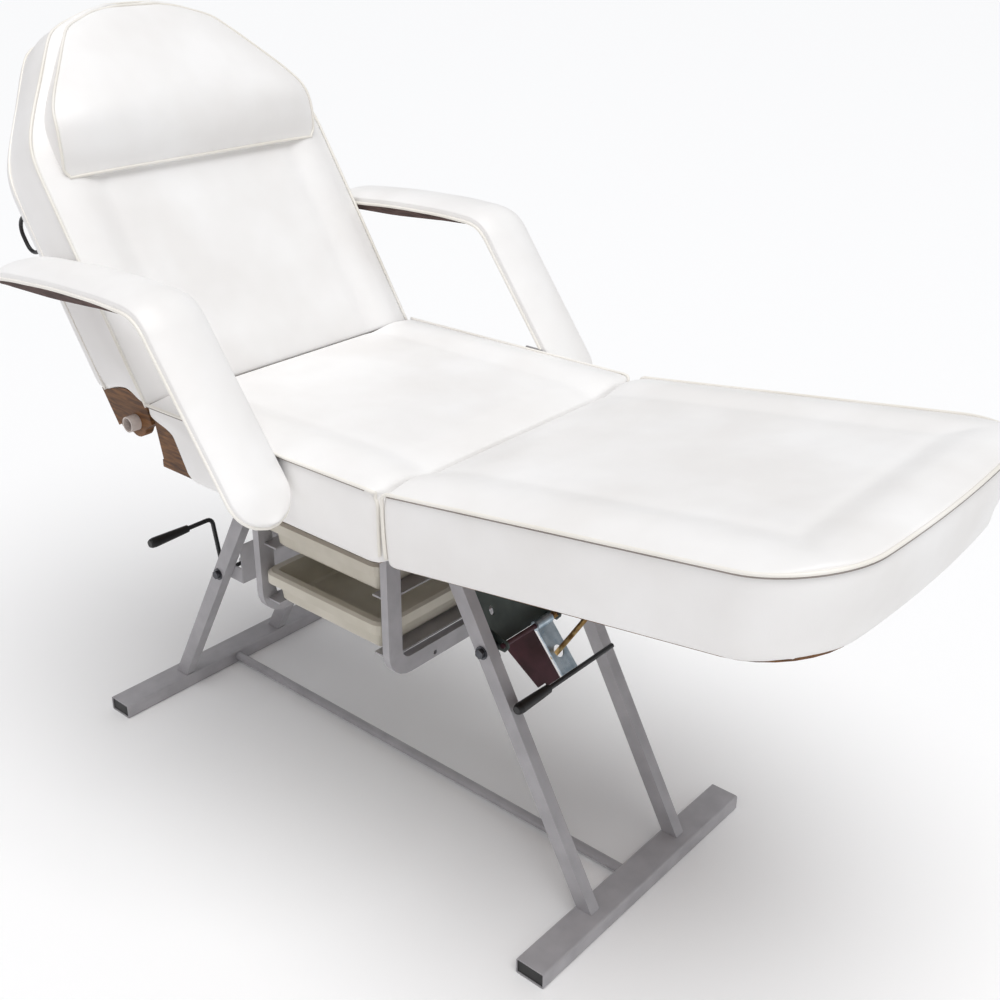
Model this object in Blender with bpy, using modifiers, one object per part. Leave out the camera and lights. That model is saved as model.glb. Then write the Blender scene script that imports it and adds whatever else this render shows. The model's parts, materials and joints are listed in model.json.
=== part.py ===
"""Facial treatment bed: three upholstered sections on a folded-tube base.

Metres, +Z up. X runs along the bed with the foot end at +X, Y runs across it,
and the floor is Z = 0. "near" is the -Y side and "far" the +Y side.
The origin is on the floor, under the middle of the whole bed.
"""
import math

import bmesh
import bpy
from mathutils import Matrix, Vector

# ---------------------------------------------------------------- driving sizes
GAP = 0.0003            # face-to-face gap between two pieces that touch
KNEE_X = 0.1557         # seat and leg-rest line, from the middle of the bed

# upholstery
SEAT_TOP = 0.695        # height of the seat's upper face
SECTION_HEIGHT = 0.108  # board and cushion together
BOARD = 0.012           # plywood under each cushion
HALF_WIDTH = 0.285      # seat and leg rest, from the middle
BACK_HALF_WIDTH = 0.281
BOARD_INSET = 0.008     # board edge inside the cushion edge
SEAT_LENGTH = 0.503
SEAT_FRONT_SETBACK = 0.004
SEAT_UNDERCUT = 0.088   # the seat's back end leans in under the backrest
LEG_LENGTH = 0.637
LEG_CORNER = 0.110      # plan radius of the leg rest's outer corners
LEG_END_TAPER = 0.036   # the end face leans in towards the floor
LEG_TILT = math.radians(8.2)
BACK_LENGTH = 0.657
BACK_ANGLE = math.radians(57.0)
BACK_FRONT = 0.050      # backrest's front face, in front of its hinge axis
BACK_SHOULDER = 0.430   # where the backrest starts to narrow
BACK_BROW = (0.622, 0.158)  # corner between the shoulder and the top edge
BACK_HEAD_HALF = 0.055  # half the width of its top edge
EDGE_ROUND = 0.010

# hinge lines, from the knee line and the floor
BACK_HINGE = (-0.540, 0.645)
KNEE_DROP = 0.015       # knee axis below the underside of the boards

# base
BASE_MIDDLE = -0.250    # middle of the base, from the knee line
FOOT_SPACING = 0.981
FOOT_LENGTH = 0.516
FOOT_WIDTH = 0.050
FOOT_HEIGHT = 0.027
WALL = 0.0018
CAP_DEPTH = 0.018
CAP_LIP = 0.002
STRETCHER_RADIUS = 0.008
LEG_OUTER = 0.123       # outer face of the legs, from the middle
LEG_ACROSS = 0.020
LEG_ALONG = 0.025
LEG_LEAN = math.radians(28.8)
LEG_FOOT_SPACING = 0.966
RAIL = 0.025
SIDE_RAIL_LENGTH = 0.470
SIDE_RAIL_REAR = -0.485
CROSS_RAIL_LENGTH = 0.486
BOLT_RADIUS = 0.004
BOLT_CLEARANCE = 0.0004
FRONT_BOLT_HEIGHT = 0.393
REAR_BOLT_HEIGHT = 0.297
SHEET = 0.0025

# trays
HANGER_SPACING = 0.288
HANGER_DEPTH = 0.014
HANGER_WIDTH = 0.028
HANGER_OUTER = 0.182
HANGER_BOTTOM = 0.312
HANGER_CORNER = 0.045
LEDGE_WIDTH = 0.028
LEDGE_THICKNESS = 0.003
TRAY_SIDE_GAP = 0.006
TRAY_DEPTH = 0.336
TRAY_HEIGHT = 0.0545
TRAY_WALL = 0.0025
TRAY_RIM_WIDTH = 0.012
TRAY_LIP = 0.018
TRAY_TAPER = 0.004
TRAY_CORNER = 0.016
LOWER_TRAY_FLOOR = 0.347
UPPER_TRAY_FLOOR = 0.447

# arms
ARM_INNER = 0.2925
ARM_WIDTH = 0.097
ARM_PAD = 0.020
ARM_BOARD = 0.002          # board under the arm's top run, at its ends
ARM_BOARD_BELLY = 0.012    # added to it half-way along
ARM_BRACKET = 0.003

# hinges, locks and levers
HINGE_PLATE = 0.005
PIVOT_TUBE_RADIUS = 0.0125
PIVOT_TUBE_HALF = 0.294
CHEEK = 0.015
CHEEK_OUTER = 0.277
KNEE_ROD_RADIUS = 0.005
RUNNING = 0.0004
ROD_RADIUS = 0.004
ROD_EYE = 0.008
ROD_EYE_HALF = 0.007
JAM_HOLE = 0.010
JAM_PLATE = 0.003
JAM_HALF = 0.018
LEVER_RADIUS = 0.004
FRONT_LEVER_AXIS = (0.045, 0.395)
FRONT_LEVER_BAR = (0.102, 0.327)
FRONT_ROD_REACH = 0.050   # from the lever axis to the rod's hole
REAR_LEVER_AXIS = (-0.620, 0.275)
REAR_ROD_REACH = 0.050
REAR_JAM_ANGLE = math.radians(34.0)
BACK_ROD_DROP = 0.095     # rod pin behind the hinge axis, square to the backrest
LEG_ROD_DROP = 0.012      # rod pin below the knee axis, square to the leg rest
BACK_ROD_LENGTH = 0.665
LEG_ROD_LENGTH = 0.300

# ------------------------------------------------------------- worked-out places
UNDERSIDE = SEAT_TOP - SECTION_HEIGHT
KNEE_Z = UNDERSIDE - KNEE_DROP
RAIL_TOP = UNDERSIDE - GAP
SIDE_RAIL_TOP = RAIL_TOP - RAIL - GAP
LEG_TOP = SIDE_RAIL_TOP - RAIL - GAP
CUSHION_BOTTOM = UNDERSIDE + BOARD + GAP
SIDE_RAIL_Y = LEG_OUTER - LEG_ACROSS + RAIL / 2
RAIL_OUTER = LEG_OUTER - LEG_ACROSS + RAIL

NEAR, FAR = -1, 1
SIDES = (("near", NEAR), ("far", FAR))


def collection(name):
    made = bpy.data.collections.new(name)
    bpy.context.scene.collection.children.link(made)
    return made


def clear_scene():
    for obj in list(bpy.data.objects):
        bpy.data.objects.remove(obj, do_unlink=True)


clear_scene()
PARTS = collection("facial_treatment_bed")
CUTTERS = collection("cutters")


# --------------------------------------------------------------------- materials
def linear(channel):
    return channel / 12.92 if channel <= 0.04045 else ((channel + 0.055) / 1.055) ** 2.4


def material(name, hex_colour, roughness, metallic=0.0):
    made = bpy.data.materials.new(name)
    made.use_nodes = True
    shader = made.node_tree.nodes["Principled BSDF"]
    channels = [int(hex_colour[i:i + 2], 16) / 255 for i in (0, 2, 4)]
    colour = [linear(channel) for channel in channels] + [1.0]
    shader.inputs["Base Color"].default_value = colour
    shader.inputs["Roughness"].default_value = roughness
    shader.inputs["Metallic"].default_value = metallic
    made.diffuse_color = colour
    return made


VINYL = material("white_vinyl", "ECEAE8", 0.45)
PLYWOOD = material("plywood", "6B431F", 0.7)
STEEL = material("grey_powder_coat", "96969A", 0.4, 0.3)
BLACK = material("black_plastic", "151515", 0.5)
TRAY_PLASTIC = material("tray_plastic", "CFC9BC", 0.45)
ZINC = material("zinc_plate", "8E9CA6", 0.35, 0.9)
YELLOW_ZINC = material("yellow_zinc", "B08A55", 0.35, 0.9)
DARK_PAINT = material("dark_painted_steel", "3A2428", 0.5, 0.2)


# ----------------------------------------------------------------- solid helpers
def keep(name, mesh, finish, parent=None):
    """Puts a finished mesh in the bed's collection, under its joint's empty."""
    made = bpy.data.objects.new(name, mesh)
    PARTS.objects.link(made)
    mesh.name = name
    mesh.materials.clear()
    mesh.materials.append(finish)
    made.parent = parent
    mesh.shade_smooth()
    mesh.set_sharp_from_angle(angle=math.radians(35))
    return made


def mesh_of(bm):
    bmesh.ops.recalc_face_normals(bm, faces=bm.faces)
    made = bpy.data.meshes.new("solid")
    bm.to_mesh(made)
    bm.free()
    return made


def curve_mesh(curve):
    """The closed mesh of a curve, with its loose caps welded on."""
    holder = bpy.data.objects.new("curve_guide", curve)
    CUTTERS.objects.link(holder)
    bpy.context.view_layer.update()
    graph = bpy.context.evaluated_depsgraph_get()
    raw = bpy.data.meshes.new_from_object(holder.evaluated_get(graph))
    bm = bmesh.new()
    bm.from_mesh(raw)
    bmesh.ops.remove_doubles(bm, verts=bm.verts, dist=1e-5)
    bpy.data.objects.remove(holder, do_unlink=True)
    bpy.data.meshes.remove(raw)
    return mesh_of(bm)


def spline(curve, points, cyclic):
    line = curve.splines.new("POLY")
    line.points.add(len(points) - 1)
    for target, point in zip(line.points, points):
        target.co = (point[0], point[1], point[2] if len(point) > 2 else 0.0, 1.0)
    line.use_cyclic_u = cyclic


def slab(outlines, thickness):
    """A flat solid in XY, centred on Z = 0. Inner outlines are holes."""
    curve = bpy.data.curves.new("outline", "CURVE")
    curve.dimensions = "2D"
    curve.fill_mode = "BOTH"
    curve.extrude = thickness / 2
    for outline in outlines:
        spline(curve, outline, True)
    return curve_mesh(curve)


def rod(points, radius, sides_level=2):
    """A solid round bar along a path."""
    curve = bpy.data.curves.new("path", "CURVE")
    curve.dimensions = "3D"
    curve.bevel_depth = radius
    curve.bevel_resolution = sides_level
    curve.use_fill_caps = True
    spline(curve, points, False)
    return curve_mesh(curve)


def moved(mesh, *steps):
    """Applies each 4 x 4 step to the mesh in turn."""
    for step in steps:
        mesh.transform(step)
    return mesh


def shift(x=0.0, y=0.0, z=0.0):
    return Matrix.Translation((x, y, z))


def turn(angle, axis):
    return Matrix.Rotation(angle, 4, axis)


def side_slab(outlines, low_y, high_y):
    """A slab whose outlines are in XZ, from one Y to another."""
    made = slab(outlines, abs(high_y - low_y))
    return moved(made, turn(math.pi / 2, "X"), shift(y=(low_y + high_y) / 2))


def end_slab(outlines, low_x, high_x):
    """A slab whose outlines are in YZ, from one X to another."""
    made = slab(outlines, abs(high_x - low_x))
    stand = Matrix(((0, 0, 1, 0), (1, 0, 0, 0), (0, 1, 0, 0), (0, 0, 0, 1)))
    return moved(made, stand, shift(x=(low_x + high_x) / 2))


def box(low, high, bevel=0.0):
    bm = bmesh.new()
    bmesh.ops.create_cube(bm, size=1.0)
    size = [b - a for a, b in zip(low, high)]
    bmesh.ops.scale(bm, vec=size, verts=bm.verts)
    middle = [(a + b) / 2 for a, b in zip(low, high)]
    bmesh.ops.translate(bm, vec=middle, verts=bm.verts)
    if bevel:
        bmesh.ops.bevel(bm, geom=bm.edges[:], offset=bevel, segments=2, profile=0.5,
                        affect="EDGES", clamp_overlap=True)
    return mesh_of(bm)


def cylinder_y(x, z, radius, low_y, high_y, sides=24):
    bm = bmesh.new()
    bmesh.ops.create_cone(bm, cap_ends=True, segments=sides, radius1=radius,
                          radius2=radius, depth=abs(high_y - low_y))
    made = mesh_of(bm)
    return moved(made, turn(math.pi / 2, "X"), shift(x, (low_y + high_y) / 2, z))


def combined(base, others, operation="UNION"):
    """One solid from several, joined to or cut from the first."""
    holder = bpy.data.objects.new("boolean_base", base)
    CUTTERS.objects.link(holder)
    tools = []
    for other in others:
        tool = bpy.data.objects.new("boolean_tool", other)
        CUTTERS.objects.link(tool)
        tools.append(tool)
        step = holder.modifiers.new("step", "BOOLEAN")
        step.operation = operation
        step.object = tool
    bpy.context.view_layer.update()
    graph = bpy.context.evaluated_depsgraph_get()
    made = bpy.data.meshes.new_from_object(holder.evaluated_get(graph))
    for obj in [holder, *tools]:
        bpy.data.objects.remove(obj, do_unlink=True)
    bm = bmesh.new()
    bm.from_mesh(made)
    bmesh.ops.remove_doubles(bm, verts=bm.verts, dist=1e-6)
    bmesh.ops.dissolve_degenerate(bm, dist=1e-6, edges=bm.edges)
    bpy.data.meshes.remove(made)
    return mesh_of(bm)


def cut(base, others):
    return combined(base, others, "DIFFERENCE")


def arc(centre, radius, start, end, steps):
    """Points on a circle, from one angle to another, both ends included."""
    angles = [start + (end - start) * i / steps for i in range(steps + 1)]
    return [(centre[0] + radius * math.cos(a), centre[1] + radius * math.sin(a)) for a in angles]


def circle(centre, radius, steps=24):
    return arc(centre, radius, 0.0, math.tau * (steps - 1) / steps, steps - 1)


def rounded(points, radii, steps=5, closed=True):
    """The outline with each corner replaced by an arc of its radius."""
    made = []
    count = len(points)
    for i, (point, radius) in enumerate(zip(points, radii)):
        ends = not closed and i in (0, count - 1)
        if radius <= 0 or ends:
            made.append(Vector(point))
            continue
        here = Vector(point)
        before = (Vector(points[i - 1]) - here).normalized()
        after = (Vector(points[(i + 1) % count]) - here).normalized()
        half = before.angle(after) / 2
        reach = radius / math.tan(half)
        centre = here + (before + after).normalized() * (radius / math.sin(half))
        start = here + before * reach - centre
        end = here + after * reach - centre
        for k in range(steps + 1):
            made.append(centre + between(start, end, k / steps))
    return [tuple(point) for point in made]


def between(start, end, share):
    """The arm that lies at a share of the angle between two arms of equal length."""
    angle = start.angle(end)
    first = math.sin((1 - share) * angle) / math.sin(angle)
    second = math.sin(share * angle) / math.sin(angle)
    return start * first + end * second


def rectangle(low, high, radius=0.0, steps=4):
    corners = [(low[0], low[1]), (high[0], low[1]), (high[0], high[1]), (low[0], high[1])]
    return rounded(corners, [radius] * 4, steps) if radius else corners


def square_tube(length, across, tall):
    """A rectangular tube along Z, standing on Z = 0."""
    outer = rectangle((-across / 2, -tall / 2), (across / 2, tall / 2), 0.003, 2)
    inner = rectangle((WALL - across / 2, WALL - tall / 2), (across / 2 - WALL, tall / 2 - WALL))
    return moved(slab([outer, inner], length), shift(z=length / 2))


def loft(rings, cap_start=True, cap_end=True):
    """A skin over equal rings of points, for shapes whose section changes."""
    bm = bmesh.new()
    loops = [[bm.verts.new(point) for point in ring] for ring in rings]
    count = len(rings[0])
    for first, second in zip(loops, loops[1:]):
        for i in range(count):
            j = (i + 1) % count
            bm.faces.new((first[i], first[j], second[j], second[i]))
    if cap_start:
        bm.faces.new(loops[0][::-1])
    if cap_end:
        bm.faces.new(loops[-1])
    return bm


def joint_empty(name, x, z, tilt=0.0):
    """An empty on a joint's axis, which runs along Y."""
    made = bpy.data.objects.new(name, None)
    made.empty_display_size = 0.05
    made.location = (KNEE_X + x, 0.0, z)
    made.rotation_euler = (0.0, tilt, 0.0)
    PARTS.objects.link(made)
    return made


# ------------------------------------------------------------- axes of the joints
BED = joint_empty("bed_axis", 0.0, 0.0)
BACK = joint_empty("backrest_axis", BACK_HINGE[0], BACK_HINGE[1], BACK_ANGLE)
LEG = joint_empty("legrest_axis", 0.0, KNEE_Z, -LEG_TILT)
FRONT_LEVER = joint_empty("front_lever_axis", *FRONT_LEVER_AXIS)
REAR_LEVER = joint_empty("rear_lever_axis", *REAR_LEVER_AXIS)


def back_point(along, ahead):
    """A place on the backrest, seen from its hinge with the back upright to its angle."""
    x = BACK_HINGE[0] - along * math.cos(BACK_ANGLE) + ahead * math.sin(BACK_ANGLE)
    z = BACK_HINGE[1] + along * math.sin(BACK_ANGLE) + ahead * math.cos(BACK_ANGLE)
    return Vector((x, z))


def leg_point(along, above):
    x = along * math.cos(LEG_TILT) - above * math.sin(LEG_TILT)
    z = KNEE_Z + along * math.sin(LEG_TILT) + above * math.cos(LEG_TILT)
    return Vector((x, z))


# Each locking rod turns by exactly half its section's angle, because its pin and
# its jam hole lie at the same distance from the section's hinge.
def front_hole():
    down = Vector(FRONT_LEVER_BAR) - Vector(FRONT_LEVER_AXIS)
    return Vector(FRONT_LEVER_AXIS) + down.normalized() * FRONT_ROD_REACH


def rear_hole():
    reach = Vector((math.cos(REAR_JAM_ANGLE), math.sin(REAR_JAM_ANGLE))) * REAR_ROD_REACH
    return Vector(REAR_LEVER_AXIS) + reach


def rod_pin_along(hole, hinge, drop):
    radius = (hole - Vector(hinge)).length
    return math.sqrt(radius ** 2 - drop ** 2)


LEG_ROD_ALONG = rod_pin_along(front_hole(), (0.0, KNEE_Z), LEG_ROD_DROP)
BACK_ROD_ALONG = rod_pin_along(rear_hole(), BACK_HINGE, BACK_ROD_DROP)
LEG_PIN = leg_point(LEG_ROD_ALONG, -LEG_ROD_DROP)
BACK_PIN = back_point(BACK_ROD_ALONG, -BACK_ROD_DROP)


# --------------------------------------------------------------------------- base
def leg_centre(end, z):
    """X of a leg's centre line at a height. end is 1 at the front, -1 at the rear."""
    foot = BASE_MIDDLE + end * LEG_FOOT_SPACING / 2
    return foot - end * (z - FOOT_HEIGHT) * math.tan(LEG_LEAN)


def foot_bar(name, end):
    x = BASE_MIDDLE + end * FOOT_SPACING / 2
    bar = moved(square_tube(FOOT_LENGTH, FOOT_WIDTH, FOOT_HEIGHT),
                turn(math.pi / 2, "X"), shift(x, FOOT_LENGTH / 2, FOOT_HEIGHT / 2))
    keep(f"{name}_foot_bar", bar, STEEL, BED)
    for side, sign in SIDES:
        foot_cap(f"{name}_foot_cap_{side}", x, sign)


def foot_cap(name, x, sign):
    """A ribbed plastic plug that closes the end of a foot bar."""
    room_x = FOOT_WIDTH / 2 - WALL - GAP
    room_z = FOOT_HEIGHT / 2 - WALL - GAP
    out = FOOT_LENGTH / 2
    plug = end_plug(room_x, room_z, out - CAP_DEPTH, out - CAP_LIP)
    hollow = end_plug(room_x - CAP_LIP, room_z - CAP_LIP, out - CAP_DEPTH - CAP_LIP, out - 2 * CAP_LIP)
    cap = cut(plug, [hollow])
    if sign == NEAR:
        moved(cap, turn(math.pi, "Z"))
    moved(cap, shift(x, 0, FOOT_HEIGHT / 2))
    keep(name, cap, BLACK, BED)


def end_plug(half_x, half_z, low_y, high_y):
    return box((-half_x, low_y, -half_z), (half_x, high_y, half_z))


def stretcher():
    half = FOOT_SPACING / 2 - FOOT_WIDTH / 2 - GAP
    z = FOOT_HEIGHT / 2
    bar = rod([(BASE_MIDDLE - half, 0, z), (BASE_MIDDLE + half, 0, z)], STRETCHER_RADIUS, 3)
    keep("stretcher_tube", bar, STEEL, BED)


def leg(name, end, side, sign, bolt_z):
    """A leaning leg, cut level at the foot bar and under the side rail."""
    low, high = FOOT_HEIGHT + GAP, LEG_TOP
    half = LEG_ALONG / 2 / math.cos(LEG_LEAN)
    wall = WALL / math.cos(LEG_LEAN)
    outline = leaning_outline(end, low, high, half)
    inside = leaning_outline(end, low - WALL, high + WALL, half - wall)
    outer_y = sign * LEG_OUTER
    inner_y = sign * (LEG_OUTER - LEG_ACROSS)
    body = side_slab([outline], inner_y, outer_y)
    hollow = side_slab([inside], inner_y + sign * WALL, outer_y - sign * WALL)
    hole = cylinder_y(leg_centre(end, bolt_z), bolt_z, BOLT_RADIUS + BOLT_CLEARANCE,
                      inner_y - sign * 0.01, outer_y + sign * 0.01, 16)
    keep(f"{name}_leg_{side}", cut(body, [hollow, hole]), STEEL, BED)
    bolt(f"{name}_leg_bolt_{side}", leg_centre(end, bolt_z), bolt_z, sign)


def leaning_outline(end, low, high, half):
    bottom, top = leg_centre(end, low), leg_centre(end, high)
    return [(bottom - half, low), (bottom + half, low), (top + half, high), (top - half, high)]


def bolt(name, x, z, sign):
    """A hexagon bolt with its washer and nut, through the leg and the cross plate."""
    head_at = LEG_OUTER + GAP
    nut_at = LEG_OUTER - LEG_ACROSS - GAP - SHEET - GAP
    washer = cylinder_y(x, z, 0.0105, sign * head_at, sign * (head_at + 0.0016))
    head = cylinder_y(x, z, 0.0078, sign * (head_at + 0.001), sign * (head_at + 0.0070), 6)
    shank = cylinder_y(x, z, BOLT_RADIUS, sign * (head_at + 0.001), sign * (nut_at - 0.009), 16)
    nut = cylinder_y(x, z, 0.0075, sign * nut_at, sign * (nut_at - 0.0065), 6)
    keep(name, combined(shank, [washer, head, nut]), ZINC, BED)


def side_rail(side, sign):
    """A long seat tube with the hinge ears of the backrest and the leg rest welded on."""
    low_z = SIDE_RAIL_TOP - RAIL
    tube = moved(square_tube(SIDE_RAIL_LENGTH, RAIL, RAIL), turn(math.pi / 2, "Y"),
                 shift(SIDE_RAIL_REAR, sign * SIDE_RAIL_Y, low_z + RAIL / 2))
    inner = RAIL_OUTER - 0.0006
    outer = RAIL_OUTER + HINGE_PLATE - 0.0006
    knee = side_slab([knee_ear(), circle((0.0, KNEE_Z), KNEE_ROD_RADIUS + GAP, 16)],
                     sign * inner, sign * outer)
    back = side_slab([back_ear(), circle(BACK_HINGE, PIVOT_TUBE_RADIUS + GAP)],
                     sign * inner, sign * outer)
    keep(f"side_rail_{side}", combined(tube, [knee, back]), STEEL, BED)


def knee_ear():
    """Hinge ear at the front end of a side rail."""
    low_z = SIDE_RAIL_TOP - RAIL + 0.002
    eye = arc((0.0, KNEE_Z), 0.013, -math.pi / 3, math.pi * 0.70, 8)
    return [(-0.100, low_z), (-0.020, low_z), *eye,
            (-0.060, SIDE_RAIL_TOP - 0.001), (-0.100, SIDE_RAIL_TOP - 0.002)]


def back_ear():
    """Hinge ear that rises behind the seat to the backrest's pivot tube."""
    low_z = SIDE_RAIL_TOP - RAIL + 0.002
    eye = arc(BACK_HINGE, 0.024, math.radians(215), math.radians(35), 10)
    return [(-0.380, low_z), (-0.380, SIDE_RAIL_TOP - 0.002), (-0.455, SIDE_RAIL_TOP - 0.002),
            (-0.462, SIDE_RAIL_TOP + 0.030), *eye[::-1], (-0.500, low_z)]


def cross_rail(name, end):
    """A tube across the bed, on the side rails and under the seat board."""
    x = BASE_MIDDLE + end * HANGER_SPACING / 2
    tube = moved(square_tube(CROSS_RAIL_LENGTH, RAIL, RAIL), turn(math.pi / 2, "X"),
                 shift(x, CROSS_RAIL_LENGTH / 2, RAIL_TOP - RAIL / 2))
    keep(f"cross_rail_{name}", tube, STEEL, BED)


def front_cross_plate():
    """Pressed plate between the front legs, which carries the front lever's pivot."""
    half = LEG_OUTER - LEG_ACROSS - GAP
    flat = math.tan(LEG_LEAN)
    low, high = FRONT_BOLT_HEIGHT - 0.010, FRONT_BOLT_HEIGHT + 0.085
    ahead = -0.0125
    x_low, x_high = leg_centre(1, low) + ahead, leg_centre(1, high) + ahead
    web_line = [(x_low, low + 0.001), (x_low + SHEET, low + 0.001), (x_high + SHEET, high), (x_high, high)]
    web = side_slab([web_line], 0.0004 - half, half - 0.0004)
    lip_line = [(x_low - 0.012, low), (x_low + 0.0012, low), (x_low + 0.0012 - SHEET * flat, low + SHEET),
                (x_low - 0.012, low + SHEET)]
    lip = side_slab([lip_line], 0.0008 - half, half - 0.0008)
    flange_top = FRONT_BOLT_HEIGHT + 0.022
    x_top = leg_centre(1, flange_top) + ahead
    flange_line = [(x_low + 0.001, low + 0.0004), (x_low + 0.024, low + 0.0004),
                   (x_top + 0.024, flange_top), (x_top + 0.001, flange_top)]
    ear_line = [(x_low + 0.001, low + 0.0006), (FRONT_LEVER_AXIS[0] + 0.002, low + 0.0006),
                *arc(FRONT_LEVER_AXIS, 0.009, -math.pi / 3, math.pi / 2, 6),
                (x_top + 0.001, flange_top - 0.002)]
    pieces = [lip]
    for sign in (NEAR, FAR):
        pieces.append(side_slab([flange_line], sign * half, sign * (half - SHEET)))
    pieces.append(side_slab([ear_line], *FRONT_EAR_NEAR))
    pieces.append(side_slab([ear_line], *FRONT_EAR_FAR))
    solid = combined(web, pieces)
    holes = [cylinder_y(*FRONT_LEVER_AXIS, LEVER_RADIUS + RUNNING, -0.092, 0.040, 16)]
    for sign in (NEAR, FAR):
        holes.append(cylinder_y(leg_centre(1, FRONT_BOLT_HEIGHT), FRONT_BOLT_HEIGHT,
                                BOLT_RADIUS + BOLT_CLEARANCE, sign * half * 0.9, sign * (half + 0.01), 16))
    slot = moved(slab([rectangle((-0.0045, -0.0065), (0.0045, 0.0065), 0.0044, 4)], 0.05),
                 turn(math.pi / 2, "Z"), turn(math.pi / 2, "Y"),
                 shift(leg_centre(1, low + 0.045) + ahead, -0.068, low + 0.045))
    keep("front_cross_plate", cut(solid, [*holes, slot]), STEEL, BED)


FRONT_EAR_NEAR = (-0.0895, -0.0870)
FRONT_EAR_FAR = (0.0330, 0.0355)
REAR_EAR = 0.040


def rear_cross_plate():
    """Pressed plate between the rear legs, with the ears of the rear lever behind it."""
    half = LEG_OUTER - LEG_ACROSS - GAP
    web_x = -0.5450
    low, high = REAR_BOLT_HEIGHT - 0.012, REAR_BOLT_HEIGHT + 0.062
    web = box((web_x, 0.0004 - half, low - 0.0004), (web_x + SHEET, half - 0.0004, high))
    pieces = []
    bolt_x = leg_centre(-1, REAR_BOLT_HEIGHT)
    for sign in (NEAR, FAR):
        flange = rectangle((bolt_x - 0.014, low), (web_x + 0.001, low + 0.028), 0.0)
        pieces.append(side_slab([flange], sign * half, sign * (half - SHEET)))
        ear_x, ear_z = REAR_LEVER_AXIS
        ear = [(web_x + 0.001, low), (web_x + 0.001, low + 0.040), (web_x - 0.020, low + 0.036),
               *arc((ear_x, ear_z), 0.010, math.radians(60), math.radians(270), 8)]
        pieces.append(side_slab([ear], sign * REAR_EAR, sign * (REAR_EAR + SHEET)))
    solid = combined(web, pieces)
    reach = REAR_EAR + SHEET + 0.002
    holes = [cylinder_y(*REAR_LEVER_AXIS, LEVER_RADIUS + RUNNING, -reach, reach, 16)]
    for sign in (NEAR, FAR):
        holes.append(cylinder_y(bolt_x, REAR_BOLT_HEIGHT, BOLT_RADIUS + BOLT_CLEARANCE,
                                sign * half * 0.9, sign * (half + 0.01), 16))
    keep("rear_cross_plate", cut(solid, holes), STEEL, BED)


# -------------------------------------------------------------------------- trays
def tray_hanger(name, end):
    """A bent frame that hangs from a cross rail and holds two ledges for the trays."""
    x = BASE_MIDDLE + end * HANGER_SPACING / 2
    top = RAIL_TOP - RAIL - GAP
    inner = HANGER_OUTER - HANGER_WIDTH
    inner_radius = HANGER_CORNER - HANGER_WIDTH
    outer_points = [(-HANGER_OUTER, top), (-HANGER_OUTER, HANGER_BOTTOM),
                    (HANGER_OUTER, HANGER_BOTTOM), (HANGER_OUTER, top)]
    inner_points = [(inner, top), (inner, HANGER_BOTTOM + HANGER_WIDTH),
                    (-inner, HANGER_BOTTOM + HANGER_WIDTH), (-inner, top)]
    outline = rounded(outer_points, [0, HANGER_CORNER, HANGER_CORNER, 0], 6)
    outline += rounded(inner_points, [0, inner_radius, inner_radius, 0], 4)
    hole = circle((-0.083, HANGER_BOTTOM + HANGER_WIDTH * 0.3), 0.004, 12)
    frame = end_slab([outline, hole], x - HANGER_DEPTH / 2, x + HANGER_DEPTH / 2)
    face = x - end * HANGER_DEPTH / 2
    ledges = []
    for floor in (LOWER_TRAY_FLOOR, UPPER_TRAY_FLOOR):
        ends = sorted((face + end * 0.003, face - end * LEDGE_WIDTH))
        ledge_top = floor - GAP
        ledges.append(box((ends[0], 0.010 - HANGER_OUTER, ledge_top - LEDGE_THICKNESS),
                          (ends[1], HANGER_OUTER - 0.010, ledge_top)))
    keep(f"tray_hanger_{name}", combined(frame, ledges), STEEL, BED)


def tray(name, floor):
    """A moulded tray: floor, tapered walls, a flat rim and a turned-down lip."""
    half_x = HANGER_SPACING / 2 - HANGER_DEPTH / 2 - TRAY_SIDE_GAP
    front = -HANGER_OUTER + 0.003
    middle_y = front + TRAY_DEPTH / 2

    def ring(inset, z, radius):
        low = (BASE_MIDDLE - half_x + inset, front + inset)
        high = (BASE_MIDDLE + half_x - inset, 2 * middle_y - front - inset)
        return [(x, y, z) for x, y in rectangle(low, high, radius, 4)]

    top = floor + TRAY_HEIGHT
    rim = TRAY_RIM_WIDTH
    bm = loft([ring(0.0, top - TRAY_LIP, TRAY_CORNER), ring(0.0, top - 0.003, TRAY_CORNER),
               ring(0.003, top, TRAY_CORNER), ring(rim, top, TRAY_CORNER - 0.006),
               ring(rim + TRAY_TAPER, floor + 0.006, TRAY_CORNER - 0.006),
               ring(rim + TRAY_TAPER + 0.005, floor, TRAY_CORNER - 0.008)], cap_start=False)
    bmesh.ops.recalc_face_normals(bm, faces=bm.faces)
    lowest = min(bm.faces, key=lambda face: face.calc_center_median().z)
    if lowest.normal.z > 0:
        bmesh.ops.reverse_faces(bm, faces=bm.faces)
    shell = bpy.data.meshes.new(name)
    bm.to_mesh(shell)
    bm.free()
    made = keep(name, shell, TRAY_PLASTIC, BED)
    wall = made.modifiers.new("wall", "SOLIDIFY")
    wall.thickness = TRAY_WALL
    wall.offset = -1.0


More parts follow.
